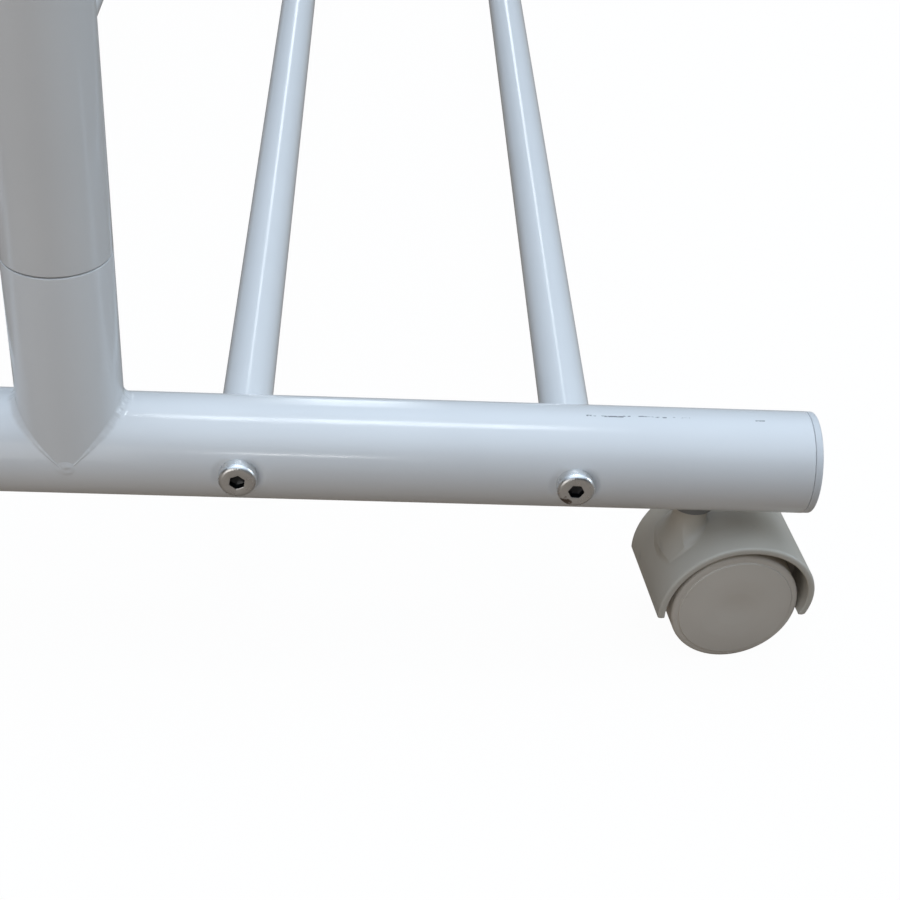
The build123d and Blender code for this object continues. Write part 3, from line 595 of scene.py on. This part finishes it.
def weld_dab(x0, out, seed):
    """The lumpy patch where both lobes meet, low on each face of the stub."""
    count = 40
    reach = 4.6
    lift = 0.42
    middle = 1.4                             # above the foot's axis

    def surface(y, z, proud):
        side = sqrt(FOOT_R**2 - (min(abs(y), z) if z > 0 else z) ** 2)
        return Vector((x0 + out * (side + proud), y, FOOT_Z + z))

    def bulge(share, y, z):
        lump = noise.noise(Vector((y * 0.55, z * 0.55, seed))) * 0.30
        return (lift + lump) * (1 - share**2) ** 2 - 0.03 - 0.25 * share**8

    rings = [[surface(0, middle, bulge(0, 0, middle))]]
    for n in range(1, 13):
        share = n / 12
        ring = []
        for k in range(count):
            angle = 2 * pi * k / count
            y = reach * share * cos(angle)
            z = middle + 0.8 * reach * share * sin(angle)
            ring.append(surface(y, z, bulge(share, y, z)))
        rings.append(ring)
    rings.append([point - Vector((out * 0.6, 0, 0)) for point in rings[-1]])
    rings.append([surface(0, middle, -1.0)])
    return skin(rings)


def bottom_rail(rail_y):
    """A thin tube from foot to foot, coped at both ends."""
    count = 96
    angles = [2 * pi * k / count for k in range(count)]
    rings = []
    for radius, order in ((RAIL_R, (-1, 1)), (RAIL_R - THIN_WALL, (1, -1))):
        stops = [[way * (FOOT_X - coped(radius, sin(a))) for a in angles] for way in order]
        for share in np.linspace(0, 1, 9):
            rings.append([
                (x0 + (x1 - x0) * share, rail_y + radius * cos(a), FOOT_Z + radius * sin(a))
                for a, x0, x1 in zip(angles, *stops)
            ])
    return skin(rings, closed=True)


def socket_screw(place, head_r, head_h, length, depth, head_round=HEAD_ROUND):
    """A domed screw with a hexagon socket. Its seat is at the origin and its head on +z."""
    count = 96
    angles = [2 * pi * k / count for k in range(count)]

    def hexagon(half):
        return [half / cos((angle % (pi / 3)) - pi / 6) for angle in angles]

    outline = [(0, -length), (SCREW_R - 0.6, -length), (SCREW_R, -length + 0.6), (SCREW_R, -0.02)]
    outline += [(head_r - 0.35, -0.02), (head_r, 0.3), (head_r, head_h - head_round - 0.2)]
    for t in np.linspace(0, pi / 2, 10)[1:]:
        outline.append((head_r - head_round * (1 - cos(t)), head_h - head_round * (1 - sin(t))))
    rings = [circle(r, h, count) for r, h in outline]
    socket = [(0.45, 0), (0.12, -0.12), (0, -0.4), (0, -depth), (-0.5, -depth - 0.2)]
    for wider, drop in socket:
        corners = zip(hexagon(SOCKET_HALF + wider), angles)
        rings.append([(r * cos(a), r * sin(a), head_h + drop) for r, a in corners])
    rings.append([(0, 0, head_h - depth - 0.7)])
    points, faces = skin(rings)
    return [place @ point for point in points], faces


for side, out in SIDES.items():
    foot_place = placed((out * FOOT_X, 0, FOOT_Z), (0, 0, out), (out, 0, 0))
    paint = scuffed_paint if side == "right" else white_paint
    foot = dimpled_tube(foot_place, FOOT_R, TUBE_WALL, FOOT_HALF, RAIL_YS)
    make_piece(f"foot_tube_{side}", foot, "root", [f"foot_{side}"], paint)
    make_piece(f"stub_tube_{side}", post_stub(side), "root", [f"post_stub_{side}"],
               white_paint)
    make_piece(f"lower_tube_{side}", lower_post(side), "root", [f"lower_post_{side}"],
               white_paint)

plugs = [tube_plug(placed((out * FOOT_X, way * FOOT_HALF, FOOT_Z), (0, way, 0)), FOOT_R, TUBE_WALL)
         for out in SIDES.values() for way in ENDS.values()]
make_piece("foot_plugs", joined(plugs), "root", ["foot_end_plugs"], foot_plug_plastic)

welds = [weld_bead(out * FOOT_X, way, 3.7 * out + way) for out in SIDES.values() for way in ENDS.values()]
welds += [weld_dab(out * FOOT_X, face, 5.3 * out + face) for out in SIDES.values() for face in (-1, 1)]
make_piece("stub_welds", joined(welds), "root", ["weld_beads"], white_paint)

for number, rail_y in enumerate(RAIL_YS, start=1):
    make_piece(f"rail_tube_{number}", bottom_rail(rail_y), "root", [f"bottom_rail_{number}"],
               white_paint)

seat_x = FOOT_X + sqrt(FOOT_R**2 - SEAT_R**2)
socket_turns = [radians(turn) for turn in (11, 47, 3, 22, 36, 15, 52, 28)]
base_screws = []
spots = [(out, rail_y) for out in SIDES.values() for rail_y in RAIL_YS]
for (out, rail_y), turn in zip(spots, socket_turns):
    place = placed((out * seat_x, rail_y, FOOT_Z), (out, 0, 0)) @ Matrix.Rotation(turn, 4, "Z")
    base_screws.append(socket_screw(place, RAIL_HEAD_R, RAIL_HEAD_H, RAIL_SCREW_LENGTH, SOCKET_DEPTH,
                                    RAIL_HEAD_ROUND))
rail_screws = make_piece("rail_socket_screws", joined(base_screws), "root", ["rail_screws"],
                         zinc)
rail_screws.data.materials.append(painted_socket_shade)
# The faces inside a socket lie close to the screw's axis and below the head's top. They take the dark metal
# of the painted socket shade.
for face in rail_screws.data.polygons:
    off_y = min(abs(face.center.y / MM - rail_y) for rail_y in RAIL_YS)
    off_axis = sqrt(off_y**2 + (face.center.z / MM - FOOT_Z) ** 2)
    depth = seat_x + RAIL_HEAD_H - abs(face.center.x) / MM
    if off_axis < SOCKET_HALF + 0.35 and 0.15 < depth < 4:
        face.material_index = 1

lock_screws = [
    socket_screw(placed((out * (FOOT_X - FOOT_R), 0, LOCK_Z), (-out, 0, 0)),
                 LOCK_HEAD_R, LOCK_HEAD_H, LOCK_SCREW_LENGTH, LOCK_SOCKET_DEPTH)
    for out in SIDES.values()
]
make_piece("post_socket_screws", joined(lock_screws), "root", ["post_lock_screws"], zinc)


# ---------------------------------------------------------------- upper half: collar, clamp, posts, rail
COLLAR_WALL = 3
CLAMP_BOSS_R = 11
CLAMP_BOSS_END = 37.5
NUT_R = 6.5
NUT_BORE = 4.0
NUT_LENGTH = 9.9
NUT_START = 27.6
KNOB_CORE_R = 13.2
KNOB_HUB_R = 9.0
LOBES = 5
LOBE_AT = 12.5
LOBE_R = 5.0
GRIP_START = 3.2
DISH_R = 39.2
DISH_RISE = 38


def collar_distance(x, y, z):
    """Local to the post's axis at the clamp's height, with the clamp boss along +x."""
    around = np.hypot(x, y)
    top = collar_high.z - CLAMP_Z
    low = collar_low.z - CLAMP_Z
    step = POST_TOP - CLAMP_Z
    sleeve = both(around - (FOOT_R + COLLAR_WALL), np.maximum(z - top, low - z), 1.8)
    across = np.hypot(y, z)
    boss = both(both(across - CLAMP_BOSS_R, x - CLAMP_BOSS_END, 1.2), 5 - x, 0.2)
    body = either(sleeve, boss, 3.0)
    bore = np.where(z < step, around - (FOOT_R + 0.03), around - (INNER_R + 0.1))
    bore = np.minimum(bore, np.maximum(across - (NUT_R + 0.02), -x))
    return np.maximum(body, -bore)


def knob_distance(x, y, z):
    """Local to the knob's face towards the post, with +z outward."""
    height = knob_high.x - knob_low.x
    star = np.hypot(x, y) - KNOB_CORE_R
    for k in range(LOBES):
        angle = 2 * pi * k / LOBES
        star = either(star, np.hypot(x - LOBE_AT * cos(angle), y - LOBE_AT * sin(angle)) - LOBE_R, 3.0)
    grip = both(both(star, z - height, 2.2), GRIP_START - z, 1.2)
    hub = both(np.hypot(x, y) - KNOB_HUB_R, np.maximum(z - height / 2, 0.05 - z), 0.5)
    dish = np.sqrt(x**2 + y**2 + (z - height - DISH_RISE) ** 2) - DISH_R
    return both(either(grip, hub, 0.8), -dish, 0.6)


def threaded_screw(place, length):
    """The clamp screw: a 1.25 mm pitch thread cut as a true helix."""
    count = 48
    pitch = 1.25
    depth = 0.6
    bevel = 0.8
    rows = np.arange(bevel, length - bevel, pitch / 8)
    rings = [circle(0, 0, count), circle(CLAMP_SCREW_R - bevel, 0, count)]
    for height in rows:
        ring = []
        for k in range(count):
            phase = (height / pitch - k / count) % 1
            radius = CLAMP_SCREW_R - depth * (1 - abs(2 * phase - 1))
            angle = 2 * pi * k / count
            ring.append((radius * cos(angle), radius * sin(angle), height))
        rings.append(ring)
    rings += [circle(CLAMP_SCREW_R - bevel, length, count), circle(0, length, count)]
    points, faces = skin(rings)
    return [place @ point for point in points], faces


# Each pair of corners bounds its shape with a little room.
collar_net = surface_of(collar_distance, (-24, -24, -45), (40, 24, 15), 0.9)
knob_net = surface_of(knob_distance, (-20, -20, -2), (20, 20, 19), 0.6)
for side, out in SIDES.items():
    x0 = out * FOOT_X
    collar_place = Matrix.Translation((x0, 0, CLAMP_Z)) @ Matrix.Rotation(0 if out > 0 else pi, 4, "Z")
    make_net(f"post_collar_{side}", collar_net, collar_place, "root", [f"collar_{side}"],
             grey_plastic)
    knob_place = placed((out * knob_low.x, 0, CLAMP_Z), (out, 0, 0))
    make_net(f"star_knob_{side}", knob_net, knob_place, f"clamp_knob_{side}", [f"clamp_knob_{side}"],
             grey_plastic)
    screw_low, screw_high = box_mm(f"clamp_screw_{side}")
    start = min(abs(screw_low.x), abs(screw_high.x))
    thread = threaded_screw(placed((out * start, 0, CLAMP_Z), (out, 0, 0)), screw_high.x - screw_low.x)
    make_piece(f"clamp_thread_{side}", thread, f"clamp_knob_{side}", [f"clamp_screw_{side}"],
               steel)
    tube = rounded([(INNER_R, inner_low.z, 0.3), (INNER_R, inner_high.z, 0.3),
                    (INNER_R - THIN_WALL, inner_high.z, 0.3), (INNER_R - THIN_WALL, inner_low.z, 0.3)])
    make_piece(f"upper_tube_{side}", lathe(tube, Matrix.Translation((x0, 0, 0)), 160), "hanger",
               [f"inner_post_{side}"], white_paint)

nuts = []
for out in SIDES.values():
    nut = rounded([
        (NUT_BORE, 0, 0.3), (NUT_R, 0, 0.3), (NUT_R, NUT_LENGTH, 0.3), (NUT_BORE, NUT_LENGTH, 0.4),
    ])
    nuts.append(lathe(nut, placed((out * (FOOT_X + NUT_START), 0, CLAMP_Z), (out, 0, 0)), 64))
make_piece("insert_nuts", joined(nuts), "root", ["clamp_nuts"], brass)

rail_place = placed((0, 0, HANGING_Z), (0, -1, 0), (0, 0, 1))
hanging = dimpled_tube(rail_place, HANGING_R, TUBE_WALL, HANGING_HALF, [-FOOT_X, FOOT_X])
make_piece("hanging_tube", hanging, "hanger", ["hanging_rail"], white_paint)
caps = [tube_plug(placed((way * HANGING_HALF, 0, HANGING_Z), (way, 0, 0)), HANGING_R, TUBE_WALL)
        for way in SIDES.values()]
make_piece("hanging_caps", joined(caps), "hanger", ["hanging_rail_end_caps"],
           foot_plug_plastic)


def saddle(x0):
    """Fills the top of an inner post and cradles the hanging rail."""
    count = 128
    angles = [2 * pi * k / count for k in range(count)]
    cradle = HANGING_R + 0.05

    def top(r, a):
        dip_z = HANGING_Z - sqrt(max(cradle**2 - (r * sin(a)) ** 2, 0))
        return min(SADDLE_TOP, dip_z)

    plug = INNER_R - THIN_WALL - 0.02
    outline = [
        (0, SADDLE_FOOT), (plug - 0.6, SADDLE_FOOT), (plug, SADDLE_FOOT + 0.6), (plug, inner_high.z + 0.02),
        (INNER_R - 0.3, inner_high.z + 0.02), (INNER_R, inner_high.z + 0.32),
    ]
    rings = [circle(radius, height, count) for radius, height in outline]
    rings.append([(INNER_R * cos(a), INNER_R * sin(a), top(INNER_R, a) - 0.35) for a in angles])
    for r in (*np.linspace(INNER_R - 0.12, INNER_R - 0.4, 3), *np.linspace(INNER_R - 1.2, 0.8, 18)):
        rings.append([(r * cos(a), r * sin(a), top(r, a) - 0.06 * (INNER_R - r < 0.2)) for a in angles])
    rings.append([(0, 0, HANGING_Z - cradle)])
    points, faces = skin(rings)
    return [point + Vector((x0, 0, 0)) for point in points], faces


make_piece("saddles", joined([saddle(out * FOOT_X) for out in SIDES.values()]), "hanger", ["rail_saddles"],
           grey_plastic)
cap_screws = [
    socket_screw(placed((out * FOOT_X, 0, TOP_Z - HEAD_H), (0, 0, 1)),
                 HEAD_R, HEAD_H, TOP_SCREW_LENGTH, SOCKET_DEPTH)
    for out in SIDES.values()
]
make_piece("top_socket_screws", joined(cap_screws), "hanger", ["top_screws"], zinc)


# ---------------------------------------------------------------- casters
WHEEL_R = (box_mm("wheel_right_back_a")[1].z - box_mm("wheel_right_back_a")[0].z) / 2
AXLE_Z = box_mm("wheel_right_back_a")[0].z + WHEEL_R
swivel = Vector(joints["caster_swivel_right_back"]["pos_m"]) / MM
hub = Vector(joints["wheel_spin_right_back_a"]["pos_m"]) / MM
TRAIL = (hub - swivel).xy.length
BOSS_TOP = 60.9
HOOD_U = TRAIL - 0.2
HOOD_R = 30.6
HOOD_BORE = 27.8
HOOD_SKIRT = 1.5
HOOD_TAIL = 2.5
HOOD_LIFT = 5.0
HOOD_HALF = 22.0
WEB_HALF = 5.5
BOSS_R = 6.3
BOSS_TAPER = 0.05
BOSS_CORE_R = 7.4
HUB_R = 7.5
STEM_BORE = 4.05
STEM_BORE_FOOT = 37.6
AXLE_R = 3.0
AXLE_BORE = 3.02
AXLE_HALF = 18
WHEEL_FACE = 21.0
WHEEL_EDGE = 6.0
WHEEL_CUP_R = 22.2
WHEEL_CUP_TOP = 18.2
WHEEL_HUB_R = 6.5
RIBS = 6
RIB_HALF = 0.7
BOX_FACES = [[0, 1, 2, 3], [7, 6, 5, 4], [0, 4, 5, 1], [1, 5, 6, 2], [2, 6, 7, 3], [3, 7, 4, 0]]


def hood_ring(u, z, radius):
    """Round on the stem's side. On the trailing side an oval whose widest place lies above the axle."""
    past, rise = u - HOOD_U, z - AXLE_Z
    tall = radius - HOOD_LIFT
    oval = (np.hypot(past / radius, (rise - HOOD_LIFT) / tall) - 1) * tall
    return np.where(past > 0, oval, np.hypot(past, rise) - radius)


def housing_distance(u, w, z):
    """Local to the swivel axis on the floor: u trails, w lies along the wheel axle, z is up."""
    spread_r = np.hypot(u - HOOD_U, z - AXLE_Z)
    axle_r = np.hypot(u - TRAIL, z - AXLE_Z)
    stem_r = np.hypot(u, w)
    shell = both(hood_ring(u, z, HOOD_R), np.abs(w) - HOOD_HALF, 1.1)
    flare = BOSS_R + BOSS_TAPER * (BOSS_TOP - z)
    boss = both(stem_r - flare, z - BOSS_TOP, 0.6)
    # The fillet between hood and boss is widest on the stem's side, in the middle of the hood's top.
    on_stem_side = np.clip((5.0 - u) / 9.0, 0, 1)
    between_faces = np.clip((17 - np.abs(w)) / 6, 0, 1)
    high_up = np.clip((z - 36) / 6, 0, 1)
    softness = 1.2 + 7.3 * on_stem_side * between_faces * high_up
    skin_field = either(shell, boss, softness)
    skin_field = both(skin_field, -hood_ring(u, z, HOOD_BORE), 0.5)
    edge_z = AXLE_Z - HOOD_SKIRT - HOOD_TAIL * np.clip((u - HOOD_U) / 10, 0, 1)
    upper = both(skin_field, edge_z - z, 0.45)
    web = both(np.maximum(spread_r - (HOOD_R - 1.2), AXLE_Z - z), np.abs(w) - WEB_HALF, 0.4)
    hub_field = both(axle_r - HUB_R, np.abs(w) - WEB_HALF, 0.4)
    boss_core = np.maximum(np.maximum(stem_r - BOSS_CORE_R, AXLE_Z - z), z - BOSS_TOP + 1)
    boss_core = np.maximum(boss_core, spread_r - HOOD_R + 0.8)
    inside = np.minimum(np.minimum(web, hub_field), np.maximum(boss_core, np.abs(w) - WEB_HALF))
    body = np.minimum(upper, inside)
    axle_bore = axle_r - AXLE_BORE
    bores = np.where(z < STEM_BORE_FOOT, axle_bore, np.minimum(stem_r - STEM_BORE, axle_bore))
    return np.maximum(body, -bores)


def wheel_shape(place):
    """A cupped wheel: rounded tread, a raised and softly domed face disc, ribs inside."""
    face = WHEEL_FACE
    cup = WHEEL_CUP_TOP
    outline = rounded([
        (0, face - 0.5, 0), (2.6, face - 0.46, 3.0), (8.0, face - 0.12, 7.0), (14.0, face - 0.06, 20.0),
        (22.1, face - 0.42, 0.35), (22.35, face - 0.95, 0.15), (23.4, face - 0.95, 0.3),
        (WHEEL_R - 0.05, face - 1.3, 1.3), (WHEEL_R, WHEEL_EDGE + 1.0, 0.8),
        (WHEEL_R - 0.6, WHEEL_EDGE, 0.4), (WHEEL_CUP_R, WHEEL_EDGE, 0.4), (WHEEL_CUP_R, cup, 1.0),
        (WHEEL_HUB_R, cup, 1.0), (WHEEL_HUB_R, WHEEL_EDGE, 0.4), (AXLE_R + 0.05, WHEEL_EDGE, 0.3),
        (AXLE_R + 0.05, cup + 0.1, 0), (0, cup + 0.1, 0),
    ], 8)
    shapes = [lathe(outline, place, 192, closed=False)]
    rib_low = WHEEL_HUB_R - 0.3
    rib_high = WHEEL_CUP_R + 0.3
    rib = [(rib_low, -RIB_HALF), (rib_high, -RIB_HALF), (rib_high, RIB_HALF), (rib_low, RIB_HALF)]
    for k in range(RIBS):
        turn = place @ Matrix.Rotation(2 * pi * k / RIBS, 4, "Z")
        points = [turn @ Vector((x, y, z)) for z in (9.0, cup + 0.2) for x, y in rib]
        shapes.append((points, BOX_FACES))
    return joined(shapes)


housing_cell = 0.55
housing_net = surface_of(housing_distance, (-14, -24, 15), (51, 24, 63), housing_cell)
for side in SIDES:
    for end in ENDS:
        spot = f"{side}_{end}"
        stem_at = Vector(joints[f"caster_swivel_{spot}"]["pos_m"]) / MM
        axle_at = Vector(joints[f"wheel_spin_{spot}_a"]["pos_m"]) / MM
        trailing = (axle_at - stem_at) * Vector((1, 1, 0))
        trailing.normalize()
        axle_way = Vector((0, 0, 1)).cross(trailing)
        turn = Matrix((trailing, axle_way, Vector((0, 0, 1)))).transposed().to_4x4()
        place = Matrix.Translation((stem_at.x, stem_at.y, 0)) @ turn
        body = f"caster_{spot}"
        make_net(f"caster_hood_{spot}", housing_net, place, body, [f"caster_housing_{spot}"],
                 caster_plastic)
        axle_outline = rounded([
            (0, -AXLE_HALF, 0), (AXLE_R, -AXLE_HALF, 0.5), (AXLE_R, AXLE_HALF, 0.5), (0, AXLE_HALF, 0),
        ])
        axle = lathe(axle_outline, placed(axle_at, axle_way), 48, closed=False)
        make_piece(f"wheel_axle_{spot}", axle, body, [f"caster_axle_{spot}"], steel)
        for wheel, way in (("a", -1), ("b", 1)):
            shape = wheel_shape(placed(axle_at, axle_way * way))
            make_piece(f"caster_wheel_{spot}_{wheel}", shape, f"wheel_{spot}_{wheel}",
                       [f"wheel_{spot}_{wheel}"], wheel_plastic)

# CAD nodes that stay: hidden inner parts, and the small steel and nylon parts at the stems. The dark nylon
# of the caster sockets' flanges is partly painted shade for the gap under the foot.
KEPT = {
    nylon_and_painted_shade: ["caster_sockets", "rail_nut_plugs", "post_guide_bushes", "clamp_pad_left", "clamp_pad_right"],
    steel: ["caster_stems", "caster_grip_rings", "caster_stem_clips", "post_spigots", "top_nuts"],
}
for material, nodes in KEPT.items():
    for node in nodes:
        mesh = frame["nodes"][node].data
        mesh.materials.clear()
        mesh.materials.append(material)


# ---------------------------------------------------------------- floor, world, lights, camera
# The camera sees a nearly white floor and a white sky. Reflections and bounced light see a brown floor
# and a sky that is dark low down and bright and cool overhead.
floor_mesh = bpy.data.meshes.new("floor")
floor_mesh.from_pydata([(-30, -30, 0), (30, -30, 0), (30, 30, 0), (-30, 30, 0)], [], [(0, 1, 2, 3)])
floor = bpy.data.objects.new("floor", floor_mesh)
bpy.context.scene.collection.objects.link(floor)
floor_material = bpy.data.materials.new("pale_floor")
floor_material.use_nodes = True
tree = floor_material.node_tree
tree.nodes.clear()
seen = add(tree, "LightPath").outputs["Is Camera Ray"]
pale = add(tree, "Emission", Color=(1, 1, 1, 1), Strength=1.0)
shadowed = add(tree, "BsdfDiffuse", Color=(0.95, 0.95, 0.95, 1))
seen_floor = add(tree, "MixShader", Fac=0.03)
tree.links.new(pale.outputs[0], seen_floor.inputs[1])
tree.links.new(shadowed.outputs[0], seen_floor.inputs[2])
bounce = add(tree, "BsdfDiffuse", Color=(0.26, 0.205, 0.16, 1))
surface = add(tree, "MixShader", Fac=seen)
tree.links.new(bounce.outputs[0], surface.inputs[1])
tree.links.new(seen_floor.outputs[0], surface.inputs[2])
tree.links.new(surface.outputs[0], add(tree, "OutputMaterial").inputs[0])
floor_mesh.materials.append(floor_material)

world = bpy.data.worlds.new("studio")
bpy.context.scene.world = world
world.use_nodes = True
tree = world.node_tree
tree.nodes.clear()
seen = add(tree, "LightPath").outputs["Is Camera Ray"]
way_to = add(tree, "SeparateXYZ", Vector=add(tree, "TexCoord").outputs["Generated"]).outputs
height = remap(tree, way_to[2], 0.47, 0.88, 0.0, 1.0)
sky = mixed(tree, height, (0.055, 0.05, 0.045, 1), (1.16, 1.38, 1.64, 1))
seen_sky = add(tree, "Background", Color=(1, 1, 1, 1))
room = add(tree, "Background", Color=sky, Strength=1.0)
surface = add(tree, "MixShader", Fac=seen)
tree.links.new(room.outputs[0], surface.inputs[1])
tree.links.new(seen_sky.outputs[0], surface.inputs[2])
tree.links.new(surface.outputs[0], add(tree, "OutputWorld").inputs[0])


def area_light(name, at, towards, width, length, power, colour, along=(0, 1, 0)):
    """A rectangular light. Its long side lies along the given direction. Lengths in metres."""
    lamp = bpy.data.lights.new(name, "AREA")
    lamp.shape = "RECTANGLE"
    lamp.size = length
    lamp.size_y = width
    lamp.energy = power
    lamp.color = colour
    obj = bpy.data.objects.new(name, lamp)
    bpy.context.scene.collection.objects.link(obj)
    z = (Vector(at) - Vector(towards)).normalized()
    x = (Vector(along) - z * z.dot(Vector(along))).normalized()
    obj.matrix_world = Matrix.Translation(at) @ Matrix((x, z.cross(x), z)).transposed().to_4x4()
    obj.visible_camera = False
    return obj


area_light("ceiling_panel", (0.17, 0.08, 2.5), (0.17, 0.08, 0), 0.40, 0.76, 7.5, (0.92, 0.97, 1.0))
area_light("far_window", (-2.6, 0.08, 1.2), (0.3, 0.08, 0.1), 0.28, 1.8, 5.0, (0.90, 0.96, 1.0),
           along=(0, 0, 1))
area_light("right_window", (0.3, 2.6, 1.0), (FOOT_X * MM, 0, 0.2), 0.8, 1.4, 17, (0.78, 0.90, 1.0),
           along=(0, 0, 1))
area_light("side_fill", (1.15, -0.32, 0.22), (FOOT_X * MM, -0.05, FOOT_Z * MM), 0.5, 0.5, 1.0,
           (1.0, 0.97, 0.93), along=(0, 0, 1))
area_light("front_strip", (1.93, 0.02, 0.575), (FOOT_X * MM, 0.06, FOOT_Z * MM), 0.035, 0.15, 0.45,
           (1.0, 1.0, 1.0))

# The camera stands where the outlines of the foot, the post and the rails come nearest to the photograph's.
yaw = radians(3.8)
pitch = radians(35.7)
roll = radians(-3.88)
forward = Vector((-cos(yaw) * cos(pitch), sin(yaw) * cos(pitch), -sin(pitch)))
right = forward.cross(Vector((0, 0, 1))).normalized()
down = forward.cross(right)
image_right = right * cos(roll) + down * sin(roll)
image_down = down * cos(roll) - right * sin(roll)
camera_data = bpy.data.cameras.new("camera")
camera_data.lens = 66.52
camera_data.sensor_width = 36
camera = bpy.data.objects.new("camera", camera_data)
bpy.context.scene.collection.objects.link(camera)
camera_turn = Matrix((image_right, -image_down, -forward)).transposed().to_4x4()
camera.matrix_world = Matrix.Translation((0.986, 0.104, 0.440)) @ camera_turn
bpy.context.scene.camera = camera
bpy.context.scene.view_settings.view_transform = "Standard"
